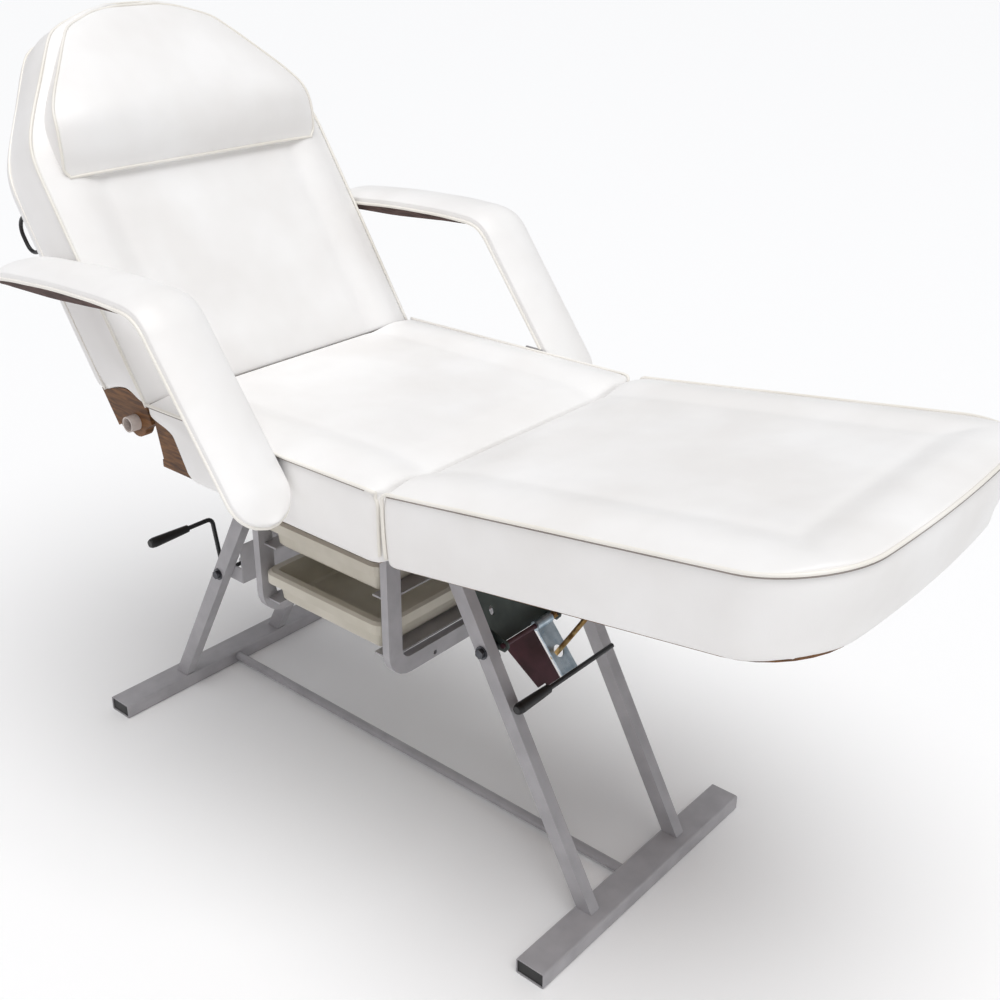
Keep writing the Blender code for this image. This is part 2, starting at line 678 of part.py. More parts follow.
# --------------------------------------------------------------------------- seat
def seat():
    """The seat board and its cushion, whose rear end leans in under the backrest."""
    front = -SEAT_FRONT_SETBACK
    rear_top = -SEAT_LENGTH
    rear_low = rear_top + SEAT_UNDERCUT
    board_half = HALF_WIDTH - BOARD_INSET
    board = box((-0.482, -board_half, UNDERSIDE), (front - BOARD_INSET, board_half, UNDERSIDE + BOARD))
    ear_slots = [box((-0.500, sign * 0.130 - 0.0055, UNDERSIDE - 0.01),
                     (-0.456, sign * 0.130 + 0.0055, UNDERSIDE + 0.03))
                 for side, sign in SIDES]
    keep("seat_board", cut(board, ear_slots), PLYWOOD, BED)
    profile = [(front, CUSHION_BOTTOM), (front, SEAT_TOP), (rear_top, SEAT_TOP - 0.008),
               (rear_top + 0.008, SEAT_TOP - 0.024), (rear_top + 0.048, SEAT_TOP - 0.034),
               (rear_top + 0.064, SEAT_TOP - 0.058), (rear_low, CUSHION_BOTTOM)]
    cushion = side_slab([profile], -HALF_WIDTH, HALF_WIDTH)
    keep("seat_cushion", softened(cushion), VINYL, BED)
    for side, sign in SIDES:
        cheek = [(rear_low - 0.002, CUSHION_BOTTOM), (rear_top + 0.062, SEAT_TOP - 0.060),
                 (rear_top + 0.046, SEAT_TOP - 0.036), (rear_top + 0.011, SEAT_TOP - 0.028),
                 (-0.4905, SEAT_TOP - 0.044), (-0.4790, CUSHION_BOTTOM)]
        line = [(x, z) for x, z in shrunk_from(cheek, 0.0012)]
        keep(f"seat_cheek_{side}", side_slab([line], sign * (CHEEK_OUTER - CHEEK), sign * CHEEK_OUTER),
             PLYWOOD, BED)


def shrunk_from(outline, amount):
    """The outline with its sloping front edge moved back by an amount."""
    front_low, front_high, *rest = outline
    return [(front_low[0] - amount, front_low[1]), (front_high[0] - amount, front_high[1]), *rest]


def softened(mesh, radius=EDGE_ROUND):
    bm = bmesh.new()
    bm.from_mesh(mesh)
    bmesh.ops.dissolve_limit(bm, angle_limit=math.radians(2), verts=bm.verts, edges=bm.edges)
    sharp = [edge for edge in bm.edges if edge.calc_face_angle(0) > math.radians(40)]
    bmesh.ops.bevel(bm, geom=sharp, offset=radius, segments=2, profile=0.5,
                    affect="EDGES", clamp_overlap=True)
    return mesh_of(bm)


# ----------------------------------------------------------------------- leg rest
def leg_outline(inset, end_setback, height):
    """Plan of the leg rest: rounded at the foot end, and square at the knee, where its face is upright."""
    rear = KNEE_CLEAR - (KNEE_DROP + SECTION_HEIGHT - height) * math.tan(LEG_TILT) + inset
    end = LEG_LENGTH + KNEE_SHIFT - inset - end_setback
    half = HALF_WIDTH - inset
    points = [(rear, -half), (end, -half), (end, half), (rear, half)]
    return rounded(points, [0, LEG_CORNER - inset, LEG_CORNER - inset, 0], 8)


KNEE_SHIFT = (SECTION_HEIGHT + KNEE_DROP) * math.sin(LEG_TILT)
KNEE_CLEAR = KNEE_SHIFT + 0.0045


def leg_rest():
    """The leg-rest board and cushion. X runs from the knee axis to the foot end."""
    board = slab([leg_outline(BOARD_INSET, LEG_END_TAPER, KNEE_DROP + BOARD)], BOARD)
    keep("legrest_board", moved(board, shift(z=KNEE_DROP + BOARD / 2)), PLYWOOD, LEG)
    low = KNEE_DROP + BOARD + GAP
    high = KNEE_DROP + SECTION_HEIGHT
    sizes = ((0.008, LEG_END_TAPER, low), (0.0, LEG_END_TAPER * 0.9, low + 0.010),
             (0.0, 0.003, high - 0.014), (0.004, 0.0, high - 0.004), (0.012, 0.0, high))
    rings = [[(x, y, z) for x, y in leg_outline(inset, setback, z)] for inset, setback, z in sizes]
    keep("legrest_cushion", mesh_of(loft(rings)), VINYL, LEG)


def legrest_hinge_arm(side, sign):
    """An angle iron under the leg-rest board, which turns on the knee rod."""
    inner = RAIL_OUTER + HINGE_PLATE - 0.0006 + GAP
    top = KNEE_DROP - GAP
    eye = arc((0.0, 0.0), 0.0120, math.radians(75), math.radians(285), 8)
    upright = [(0.260, top - 0.014), (0.260, top), (0.014, top), *eye, (0.050, top - 0.024)]
    web = side_slab([upright, circle((0.0, 0.0), KNEE_ROD_RADIUS + RUNNING, 16)],
                    sign * inner, sign * (inner + 0.003))
    ends = sorted((sign * inner, sign * (inner + 0.026)))
    flange = box((0.024, ends[0], top - 0.003), (0.260, ends[1], top))
    keep(f"legrest_hinge_arm_{side}", combined(web, [flange]), STEEL, LEG)


def knee_rod():
    """The rod on which the leg rest turns, with a head at each end."""
    half = RAIL_OUTER + HINGE_PLATE + 0.006
    shaft = cylinder_y(0.0, KNEE_Z, KNEE_ROD_RADIUS, -half - 0.001, half + 0.001, 16)
    heads = [cylinder_y(0.0, KNEE_Z, 0.008, sign * half, sign * (half + 0.003), 16) for sign in (NEAR, FAR)]
    keep("knee_hinge_rod", combined(shaft, heads), ZINC, BED)


# ----------------------------------------------------------------------- backrest
def back_outline(inset, low):
    """Plan of the backrest, seen from the front: straight sides, then a rounded head."""
    half = BACK_HALF_WIDTH - inset
    top = BACK_LENGTH - inset
    head = BACK_HEAD_HALF - inset * 0.4
    brow = (BACK_BROW[0] - inset * 0.7, BACK_BROW[1] - inset * 0.7)
    side = [(-low, half), (-BACK_SHOULDER, half), (-brow[0], brow[1]), (-top, head)]
    points = [(x, -y) for x, y in side] + side[::-1]
    return rounded(points, [0, 0.14, 0.07, 0.07, 0.07, 0.07, 0.14, 0], 6)


def backrest():
    """The backrest board and cushion. -X runs up the backrest and +Z faces the sitter."""
    rear = BACK_FRONT - SECTION_HEIGHT + 0.003
    board = slab([back_outline(BOARD_INSET - 0.002, 0.012)], BOARD)
    keep("back_board", moved(board, shift(z=rear + BOARD / 2)), PLYWOOD, BACK)
    low = rear + BOARD + GAP
    sizes = ((0.008, low), (0.0, low + 0.009), (0.0, BACK_FRONT - 0.012), (0.004, BACK_FRONT - 0.004),
             (0.012, BACK_FRONT))
    rings = [[(x, y, z) for x, y in back_outline(inset, -0.024)] for inset, z in sizes]
    cushion = mesh_of(loft(rings))
    below = side_slab([[(-0.0760, -0.07), *back_lower_line(0.0), (-0.0080, 0.07), (0.2, 0.07), (0.2, -0.07)]],
                      -0.4, 0.4)
    keep("back_cushion", cut(cushion, [below]), VINYL, BACK)
    for side, sign in SIDES:
        back_cheek(side, sign, low)


def back_lower_line(gap):
    """The cushion's lower end runs up towards the rear in a shallow curve, from the cheeks' front corner."""
    line = [(-0.0670, -0.027), (-0.0610, -0.007), (-0.0530, 0.010), (-0.0430, 0.022), (-0.0280, 0.032),
            (-0.0130, 0.043)]
    return [(x + gap, z - gap * 0.6) for x, z in line]


def back_cheek(side, sign, low):
    """A plywood cheek that turns on the pivot tube."""
    front = [(-0.0688, low), *back_lower_line(0.0012)]
    eye = arc((0.0, 0.0), 0.024, math.radians(-80), math.radians(40), 7)
    outline = [*eye, (0.017, 0.036), *front[::-1], (-0.0060, low)]
    hole = circle((0.0, 0.0), PIVOT_TUBE_RADIUS + RUNNING)
    cheek = side_slab([outline, hole], sign * (CHEEK_OUTER - CHEEK), sign * CHEEK_OUTER)
    keep(f"back_cheek_{side}", cheek, PLYWOOD, BACK)


def pivot_tube():
    """The tube across the bed on which the backrest turns."""
    ring = [circle((0, 0), PIVOT_TUBE_RADIUS), circle((0, 0), PIVOT_TUBE_RADIUS - 0.002)]
    tube = side_slab(ring, -PIVOT_TUBE_HALF, PIVOT_TUBE_HALF)
    keep("back_pivot_tube", moved(tube, shift(BACK_HINGE[0], 0, BACK_HINGE[1])), TRAY_PLASTIC, BED)


def head_pillow():
    """A wedge pillow on the head end, thickest across its lower third."""
    base = BACK_FRONT + GAP

    def outline(inset, low_end):
        half = 0.250 - inset
        side = [(-low_end, half), (-0.465, half - 0.008), (-0.606 + inset * 0.7, 0.140 - inset * 0.7),
                (-0.634 + inset, 0.070)]
        points = [(x, -y) for x, y in side] + side[::-1]
        return rounded(points, [0.012, 0.06, 0.05, 0.05, 0.05, 0.05, 0.06, 0.012], 4)

    def ring(inset, low_end, low_height, top_height):
        span = 0.634 - low_end
        made = []
        for x, y in outline(inset, low_end):
            share = min(max((-x - low_end) / span, 0.0), 1.0)
            made.append((x, y, base + low_height + (top_height - low_height) * share))
        return made

    rings = [ring(0.010, 0.372, 0.0, 0.0), ring(0.0, 0.374, 0.010, 0.008),
             ring(0.0, 0.425, 0.050, 0.018), ring(0.010, 0.440, 0.060, 0.024)]
    keep("head_pillow", mesh_of(loft(rings)), VINYL, BACK)


def towel_loop():
    """A bent wire loop on the back of the backrest."""
    rear = BACK_FRONT - SECTION_HEIGHT + 0.003
    start = rear - GAP
    out = start - 0.048
    points = [(-0.316, -0.262, start), (-0.316, -0.262, out), (-0.374, -0.262, out), (-0.374, -0.262, start)]
    path = rounded(points, [0, 0.022, 0.022, 0], 6, closed=False)
    keep("towel_loop", rod(path, 0.0033), BLACK, BACK)


# ---------------------------------------------------------------------- armrests
def arm_line():
    """The armrest's lower line in XZ: a gently arched top run, a bend and a sloping run."""
    top = [(-0.722, 0.857), (-0.665, 0.869), (-0.540, 0.879), (-0.430, 0.882), (-0.343, 0.878)]
    points = [*top, (-0.150, 0.620)]
    return rounded(points, [0, 0.30, 0.40, 0.30, 0.045, 0], 5, closed=False)


def stations(line):
    """For each point of the line: place, upward normal, distance from the nearer end."""
    lengths = [0.0]
    for first, second in zip(line, line[1:]):
        lengths.append(lengths[-1] + math.dist(first, second))
    made = []
    for i, point in enumerate(line):
        before = Vector(line[max(i - 1, 0)])
        after = Vector(line[min(i + 1, len(line) - 1)])
        along = (after - before).normalized()
        made.append((Vector(point), Vector((-along.y, along.x)), lengths[i], lengths[-1]))
    return made


def with_end_points(line, half):
    """Adds points near both ends, so that the ends can be rounded in plan."""
    steps = [half * share for share in (0.04, 0.15, 0.35, 0.62)]
    first, second = Vector(line[0]), Vector(line[1])
    last, before = Vector(line[-1]), Vector(line[-2])
    start = [first + (second - first).normalized() * step for step in steps]
    end = [last + (before - last).normalized() * step for step in reversed(steps)]
    return [line[0], *map(tuple, start), *line[1:-1], *map(tuple, end), line[-1]]


def arm_band(line, low, high, inset, sign, round_top, square_end=False):
    """A strip along the arm's line, between two heights above it, with round ends."""
    half = ARM_WIDTH / 2 - inset
    middle = sign * (ARM_INNER + ARM_WIDTH / 2)
    rings = []
    for place, up, distance, total in stations(with_end_points(line, half)):
        near_end = (distance if square_end else min(distance, total - distance)) - inset
        depth = min(max(near_end, 0.0015), half)
        width = math.sqrt(half ** 2 - (half - depth) ** 2)
        bottom, top = low(distance, total), high(distance, total)
        soft = min(round_top, width * 0.6)
        section = [(-width, bottom), (width, bottom), (width, top - soft), (width - soft, top),
                   (soft - width, top), (-width, top - soft)]
        rings.append([(place.x + up.x * h, middle + w, place.y + up.y * h) for w, h in section])
    return mesh_of(loft(rings))


def belly(distance, total):
    """The board under the top run is thickest half-way along it."""
    return -ARM_BOARD - ARM_BOARD_BELLY * math.sin(math.pi * distance / total)


def armrest(side, sign):
    line = arm_line()
    pad = arm_band(line, lambda d, t: GAP, lambda d, t: ARM_PAD, 0.0, sign, 0.008)
    keep(f"arm_pad_{side}", pad, VINYL, BED)
    top_run = [point for point in line if point[0] < -0.362]
    board = arm_band(top_run, belly, lambda d, t: 0.0, 0.003, sign, 0.0005, square_end=True)
    keep(f"arm_board_{side}", board, PLYWOOD, BED)
    arm_bracket(side, sign)


def arm_bracket(side, sign):
    """An angle plate: one leg under the seat board, one leg up beside the arm's sloping run."""
    outer = ARM_INNER - GAP
    inner = outer - ARM_BRACKET
    low = UNDERSIDE - GAP - ARM_BRACKET
    upright = [(-0.250, low), (-0.214, low), (-0.180, 0.645),
               (-0.180, 0.664), (-0.199, 0.694), (-0.232, 0.694)]
    plate = side_slab([upright], sign * inner, sign * outer)
    ends = sorted((sign * 0.150, sign * (inner + 0.001)))
    foot = box((-0.249, ends[0], low), (-0.215, ends[1], low + ARM_BRACKET))
    keep(f"arm_bracket_{side}", combined(plate, [foot]), STEEL, BED)


# ------------------------------------------------------------- locks and levers
def rod_bracket(name, parent, face, pin_x, pin_z, sign):
    """A small clevis with its pin. sign is the side of the board that it stands on."""
    ear_in, ear_out = ROD_EYE_HALF + 0.0015, ROD_EYE_HALF + 0.0040
    tip = pin_z - 0.010
    base = box((pin_x - 0.035, -0.026, face - 0.003), (pin_x + 0.035, 0.026, face))
    ear = [(pin_x - 0.022, face - 0.001), (pin_x + 0.022, face - 0.001),
           (pin_x + 0.009, tip + 0.004), (pin_x + 0.005, tip),
           (pin_x - 0.005, tip), (pin_x - 0.009, tip + 0.004)]
    pieces = [side_slab([ear], s * ear_in, s * ear_out) for s in (NEAR, FAR)]
    pieces.append(cylinder_y(pin_x, pin_z, ROD_RADIUS, -ear_out - 0.003, ear_out + 0.003, 16))
    keep(name, combined(base, pieces), ZINC, parent)


def lock_rod(name, pin, hole, length, parent):
    """A plated rod with an eye round its pin, which slides through a jam plate."""
    eye = cut(cylinder_y(0, 0, ROD_EYE, -ROD_EYE_HALF, ROD_EYE_HALF, 20),
              [cylinder_y(0, 0, ROD_RADIUS + RUNNING, -0.02, 0.02, 16)])
    bar = rod([(ROD_EYE - 0.0015, 0, 0), (length, 0, 0)], ROD_RADIUS, 3)
    solid = combined(eye, [bar])
    along = hole - pin
    made = keep(name, solid, YELLOW_ZINC, parent)
    made.rotation_euler = (0.0, -math.atan2(along.y, along.x), 0.0)
    return made


def hub_and_plate(reach, low_y, high_y, hole_at=None):
    """A plate that starts at a hub on the lever's axis and runs along +X."""
    plate = box((0.005, low_y, -JAM_PLATE / 2), (reach, high_y, JAM_PLATE / 2))
    hub = cylinder_y(0, 0, 0.0078, low_y, high_y, 20)
    tools = [cylinder_y(0, 0, LEVER_RADIUS + GAP, low_y - 0.01, high_y + 0.01, 16)]
    if hole_at:
        bm = bmesh.new()
        bmesh.ops.create_cone(bm, cap_ends=True, segments=24, radius1=JAM_HOLE, radius2=JAM_HOLE, depth=0.03)
        tools.append(moved(mesh_of(bm), shift(hole_at, 0, 0)))
    return cut(combined(plate, [hub]), tools)


def spring(low_y, high_y, turns, wire):
    """A small return spring round the lever's shaft."""
    steps = 10 * turns
    radius = LEVER_RADIUS + GAP + wire + 0.0002
    points = []
    for i in range(steps + 1):
        angle = math.tau * i / 10
        y = low_y + wire + (high_y - low_y - 2 * wire) * i / steps
        points.append((radius * math.cos(angle), y, radius * math.sin(angle)))
    return rod(points, wire, 1)


def grip(low_y, high_y, thin, thick):
    """A moulded hand grip with a round end, thicker towards the end at low_y."""
    length = high_y - low_y
    bore = LEVER_RADIUS + GAP
    profile = [(bore, length), (thin, length), (thin + 0.0008, length * 0.75), (thick, length * 0.12),
               (thick - 0.001, length * 0.04), (thick * 0.7, 0.0), (0.0002, 0.0)]
    inside = [(0.0002, 0.004), (bore, 0.004)]
    bm = bmesh.new()
    ring = [bm.verts.new((radius, 0.0, height)) for radius, height in [*inside[::-1], *profile[::-1]][::-1]]
    edges = [bm.edges.new((a, b)) for a, b in zip(ring, ring[1:])]
    edges.append(bm.edges.new((ring[-1], ring[0])))
    bmesh.ops.spin(bm, geom=[*ring, *edges], cent=(0, 0, 0), axis=(0, 0, 1), angle=math.tau,
                   steps=20, use_merge=True)
    bmesh.ops.remove_doubles(bm, verts=bm.verts, dist=1e-5)
    return moved(mesh_of(bm), turn(-math.pi / 2, "X"), shift(y=low_y))


def front_lever():
    """Bar, web, jam plate and spring of the leg-rest release, round the pivot."""
    down = Vector(FRONT_LEVER_BAR) - Vector(FRONT_LEVER_AXIS)
    reach = down.length
    tilt = -math.atan2(down.y, down.x)
    plate_end = reach - LEVER_RADIUS - GAP
    grip_end, grip_start, bar_end = -0.128, -0.054, 0.105
    grip_radius = 0.0090
    grip_room = reach - grip_radius - 0.0008
    corner = grip_start + 0.0006
    web_line = [(0.0, -0.024), (plate_end, -0.024), (plate_end, corner), (grip_room, corner),
                (grip_room, -0.070), (0.012, -0.086), (0.0, -0.086)]
    shaft = cylinder_y(0, 0, LEVER_RADIUS, FRONT_EAR_NEAR[0] - 0.004, FRONT_EAR_FAR[1] + 0.004, 16)
    web = slab([web_line], SHEET)
    pieces = [combined(shaft, [web]), hub_and_plate(plate_end, -JAM_HALF, JAM_HALF, FRONT_ROD_REACH)]
    names = [("front_lever_web", DARK_PAINT), ("front_jam_plate", ZINC)]
    for (name, finish), solid in zip(names, pieces):
        keep(name, solid, finish, FRONT_LEVER).rotation_euler = (0.0, tilt, 0.0)
    bar = rod([(down.x, grip_end + 0.005, down.y), (down.x, bar_end, down.y)], LEVER_RADIUS, 3)
    keep("front_lever_bar", bar, BLACK, FRONT_LEVER)
    handle = moved(grip(grip_end, grip_start, 0.0070, grip_radius), shift(down.x, 0, down.y))
    keep("front_lever_grip", handle, BLACK, FRONT_LEVER)
    coil = spring(JAM_HALF + 0.001, FRONT_EAR_FAR[0] - 0.001, 4, 0.0007)
    made = keep("front_lever_spring", coil, YELLOW_ZINC, BED)
    made.location = (FRONT_LEVER_AXIS[0], 0.0, FRONT_LEVER_AXIS[1])


def rear_lever():
    """Cranked lever, jam plate and spring of the backrest release."""
    crank_top = 0.386 - REAR_LEVER_AXIS[1]
    grip_end, grip_start = -0.230, -0.152
    points = [(0, REAR_EAR + SHEET + 0.004, 0), (0, -0.086, 0), (0, -0.100, crank_top),
              (0, grip_end + 0.005, crank_top)]
    shaft = rod(rounded(points, [0, 0.012, 0.012, 0], 4, closed=False), LEVER_RADIUS, 3)
    keep("rear_lever_shaft", shaft, BLACK, REAR_LEVER)
    handle = moved(grip(grip_end, grip_start, 0.0065, 0.0090), shift(z=crank_top))
    keep("rear_lever_grip", handle, BLACK, REAR_LEVER)
    plate = hub_and_plate(0.066, -JAM_HALF, JAM_HALF, REAR_ROD_REACH)
    keep("rear_jam_plate", plate, ZINC, REAR_LEVER).rotation_euler = (0.0, -REAR_JAM_ANGLE, 0.0)
    coil = spring(JAM_HALF + 0.001, REAR_EAR - 0.001, 6, 0.0009)
    made = keep("rear_lever_spring", coil, YELLOW_ZINC, BED)
    made.location = (REAR_LEVER_AXIS[0], 0.0, REAR_LEVER_AXIS[1])


def locks():
    leg_axis = joint_empty("leg_rod_axis", LEG_PIN.x, LEG_PIN.y)
    back_axis = joint_empty("back_rod_axis", BACK_PIN.x, BACK_PIN.y)
    lock_rod("leg_lock_rod", LEG_PIN, front_hole(), LEG_ROD_LENGTH, leg_axis)
    lock_rod("back_lock_rod", BACK_PIN, rear_hole(), BACK_ROD_LENGTH, back_axis)
    rod_bracket("leg_rod_bracket", LEG, KNEE_DROP - GAP, LEG_ROD_ALONG, -LEG_ROD_DROP, NEAR)
    rear = BACK_FRONT - SECTION_HEIGHT + 0.003
    rod_bracket("back_rod_bracket", BACK, rear - GAP, -BACK_ROD_ALONG, -BACK_ROD_DROP, NEAR)


# -------------------------------------------------------------------------- build
def build():
    for name, end, bolt_z in (("front", 1, FRONT_BOLT_HEIGHT), ("rear", -1, REAR_BOLT_HEIGHT)):
        foot_bar(name, end)
        cross_rail(name, end)
        tray_hanger(name, end)
        for side, sign in SIDES:
            leg(name, end, side, sign, bolt_z)
    stretcher()
    front_cross_plate()
    rear_cross_plate()
    tray("lower_tray", LOWER_TRAY_FLOOR)
    tray("upper_tray", UPPER_TRAY_FLOOR)
    seat()
    leg_rest()
    knee_rod()
    backrest()
    pivot_tube()
    head_pillow()
    towel_loop()
    for side, sign in SIDES:
        side_rail(side, sign)
        legrest_hinge_arm(side, sign)
        armrest(side, sign)
    locks()
    front_lever()
    rear_lever()
    bpy.context.view_layer.update()


build()
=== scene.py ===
# %% [markdown]
# # A facial treatment bed
# A folded-tube base carries three upholstered sections: a seat, a leg rest that
# tilts down and a backrest that tilts flat. Two padded arms, a wedge pillow and
# two slide-out trays complete it. The metal and wood pieces come finished in
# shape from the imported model. This lesson gives them their surfaces and makes
# every cushion again as sewn, padded vinyl.

import json
import math

import bmesh
import bpy
from mathutils import Matrix, Vector


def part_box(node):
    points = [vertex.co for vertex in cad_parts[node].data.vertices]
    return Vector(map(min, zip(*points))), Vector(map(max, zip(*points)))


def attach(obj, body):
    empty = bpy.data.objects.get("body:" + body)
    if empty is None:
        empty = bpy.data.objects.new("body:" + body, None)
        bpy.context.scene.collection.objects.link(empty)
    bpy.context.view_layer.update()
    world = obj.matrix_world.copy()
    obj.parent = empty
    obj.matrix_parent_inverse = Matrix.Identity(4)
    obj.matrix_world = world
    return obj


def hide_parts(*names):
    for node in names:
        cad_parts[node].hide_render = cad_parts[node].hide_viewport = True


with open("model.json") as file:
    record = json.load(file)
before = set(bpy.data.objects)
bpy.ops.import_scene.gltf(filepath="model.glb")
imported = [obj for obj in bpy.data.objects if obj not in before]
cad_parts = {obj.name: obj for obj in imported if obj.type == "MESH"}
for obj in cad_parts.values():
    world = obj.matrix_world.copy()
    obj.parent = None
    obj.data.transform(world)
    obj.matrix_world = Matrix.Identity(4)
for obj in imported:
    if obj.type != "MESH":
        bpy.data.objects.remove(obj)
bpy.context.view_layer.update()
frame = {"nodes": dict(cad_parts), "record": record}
joints = {joint["name"]: joint for joint in frame["record"]["behaviour"]["joints"]}

# %% [markdown]
# ## Camera, floor and light
# The bed is seen from its foot end, a little above the arms, on a pale floor.
# A wide, soft light from overhead gives the bright upper faces, two weak lamps
# fill the sides that face the camera, and the pale world does the rest.
# The plain "Standard" view leaves the white vinyl white.

# %% Camera
def camera():
    yaw, pitch, roll = (math.radians(angle) for angle in (40.300, 25.699, 0.510))
    back = Vector((math.sin(yaw) * math.cos(pitch), -math.cos(yaw) * math.cos(pitch), math.sin(pitch)))
    level_right = Vector((math.cos(yaw), math.sin(yaw), 0.0))
    level_up = back.cross(level_right)
    right = level_right * math.cos(roll) + level_up * math.sin(roll)
    up = level_up * math.cos(roll) - level_right * math.sin(roll)
    lens = bpy.data.cameras.new("camera")
    lens.lens = 46.0
    lens.sensor_width = 36.0
    holder = bpy.data.objects.new("camera", lens)
    knee = joints["legrest_tilt"]["pos_m"][0]
    place = Vector((knee + 1.06505, -1.30395, 1.39343))
    turn = Matrix((right, up, back)).transposed().to_4x4()
    holder.matrix_world = Matrix.Translation(place) @ turn
    bpy.context.scene.collection.objects.link(holder)
    bpy.context.scene.camera = holder
    return place


print("camera stands at", [round(v, 3) for v in camera()])

# %% Colours and nodes
def linear(hex_colour):
    """An sRGB hex colour as linear red, green, blue and alpha."""
    made = []
    for i in (0, 2, 4):
        channel = int(hex_colour[i:i + 2], 16) / 255
        made.append(channel / 12.92 if channel <= 0.04045 else ((channel + 0.055) / 1.055) ** 2.4)
    return (*made, 1.0)


def add_node(tree, kind, inputs=None, **settings):
    """A node with its settings. An input takes a value, or a socket to be linked to it."""
    made = tree.nodes.new(kind)
    for name, value in settings.items():
        setattr(made, name, value)
    for name, value in (inputs or {}).items():
        if isinstance(value, bpy.types.NodeSocket):
            tree.links.new(value, made.inputs[name])
        else:
            made.inputs[name].default_value = value
    return made


print("white vinyl's middle grey:", [round(v, 3) for v in linear("F3F1EE")])

# %% Floor, lamps and world
def studio():
    bm = bmesh.new()
    bmesh.ops.create_grid(bm, x_segments=1, y_segments=1, size=20.0)
    mesh = bpy.data.meshes.new("floor")
    bm.to_mesh(mesh)
    bm.free()
    floor = bpy.data.objects.new("floor", mesh)
    floor.location.z = -0.0005
    bpy.context.scene.collection.objects.link(floor)
    pale = bpy.data.materials.new("pale_floor")
    pale.use_nodes = True
    shader = pale.node_tree.nodes["Principled BSDF"]
    shader.inputs["Base Color"].default_value = linear("FCFCFC")
    shader.inputs["Roughness"].default_value = 0.9
    mesh.materials.append(pale)
    lamps = (("foot_fill", (3.2, -1.6, 2.2), (0.0, 0.0, 0.6), 2.0, 6.0, "FFFAF6"),
             ("near_fill", (-0.6, -3.4, 1.6), (-0.1, 0.0, 0.5), 2.4, 4.0, "FFE6E2"))
    for name, place, aim, size, power, colour in lamps:
        lamp = bpy.data.lights.new(name, "AREA")
        lamp.shape = "SQUARE"
        lamp.size = size
        lamp.energy = power
        lamp.color = linear(colour)[:3]
        holder = bpy.data.objects.new(name, lamp)
        holder.location = place
        holder.rotation_euler = (Vector(aim) - Vector(place)).to_track_quat("-Z", "Y").to_euler()
        bpy.context.scene.collection.objects.link(holder)
    overhead = bpy.data.lights.new("overhead", "SUN")
    overhead.energy = 2.05
    overhead.angle = math.radians(50)
    holder = bpy.data.objects.new("overhead", overhead)
    holder.rotation_euler = Vector((-0.26, 0.14, -1.0)).to_track_quat("-Z", "Y").to_euler()
    bpy.context.scene.collection.objects.link(holder)
    world = bpy.data.worlds.new("pale_room")
    bpy.context.scene.world = world
    world.use_nodes = True
    background = world.node_tree.nodes["Background"]
    background.inputs["Color"].default_value = linear("FBFCFF")
    background.inputs["Strength"].default_value = 0.40
    bpy.context.scene.view_settings.view_transform = "Standard"
    return len(lamps) + 1


print("lamps:", studio())

# %% [markdown]
# ## Finishes
# Each finish starts from what the real one is. All the patterns read Object
# coordinates, which are metres here, so a scale of 1 / size gives a pattern of
# that size. A pattern too fine to show at this distance is drawn coarser.

# %% Start of a finish
def start_finish(name, roughness, metallic=0.0):
    made = bpy.data.materials.new(name)
    made.use_nodes = True
    tree = made.node_tree
    shader = tree.nodes["Principled BSDF"]
    shader.inputs["Roughness"].default_value = roughness
    shader.inputs["Metallic"].default_value = metallic
    place = add_node(tree, "ShaderNodeTexCoord").outputs["Object"]
    return made, tree, shader, place


def mottle(tree, place, size_mm, dark, light, low=0.35, high=0.65, detail=3.0):
    """Two colours in soft clouds of a size."""
    cloud = add_node(tree, "ShaderNodeTexNoise", {"Vector": place, "Scale": 1000 / size_mm, "Detail": detail})
    ramp = add_node(tree, "ShaderNodeValToRGB", {"Fac": cloud.outputs["Fac"]})
    ramp.color_ramp.elements[0].position = low
    ramp.color_ramp.elements[1].position = high
    ramp.color_ramp.elements[0].color = linear(dark)
    ramp.color_ramp.elements[1].color = linear(light)
    return ramp.outputs["Color"]


def vary(tree, place, size_mm, low, high):
    """A number that drifts between two values, for roughness."""
    cloud = add_node(tree, "ShaderNodeTexNoise", {"Vector": place, "Scale": 1000 / size_mm, "Detail": 4.0})
    span = add_node(tree, "ShaderNodeMapRange", {"Value": cloud.outputs["Fac"], "From Min": 0.3,
                                                 "From Max": 0.7, "To Min": low, "To Max": high})
    return span.outputs["Result"]


def raise_by(tree, height, depth_mm, strength=1.0, under=None):
    """A bump of a depth, laid over another one."""
    inputs = {"Height": height, "Distance": depth_mm / 1000, "Strength": strength}
    if under:
        inputs["Normal"] = under
    return add_node(tree, "ShaderNodeBump", inputs).outputs["Normal"]


print("finish helpers are ready")

# %% [markdown]
# ### Vinyl
# The cushions are covered in PVC leathercloth: a knitted back with a soft
# plasticised skin, embossed with a leather grain of about 1 mm. It has a wide,
# soft highlight, and over foam it drapes in faint, slack ripples. Cells of
# 2.2 mm are used for the grain, because 1 mm ones would not show.

# %% Vinyl finishes
def embossed_vinyl(name, dark, light, low_gloss, high_gloss, ripple_mm):
    made, tree, shader, place = start_finish(name, low_gloss)
    colour = mottle(tree, place, 160, dark, light)
    grain = add_node(tree, "ShaderNodeTexVoronoi", {"Vector": place, "Scale": 1000 / 2.2}, feature="F1")
    ripple = add_node(tree, "ShaderNodeTexNoise", {"Vector": place, "Scale": 1000 / 90, "Detail": 2.5})
    soft = raise_by(tree, ripple.outputs["Fac"], ripple_mm)
    fine = raise_by(tree, grain.outputs["Distance"], 0.12, 0.35, soft)
    tree.links.new(colour, shader.inputs["Base Color"])
    tree.links.new(vary(tree, place, 60, low_gloss, high_gloss), shader.inputs["Roughness"])
    tree.links.new(fine, shader.inputs["Normal"])
    shader.inputs["Specular IOR Level"].default_value = 0.5
    return made


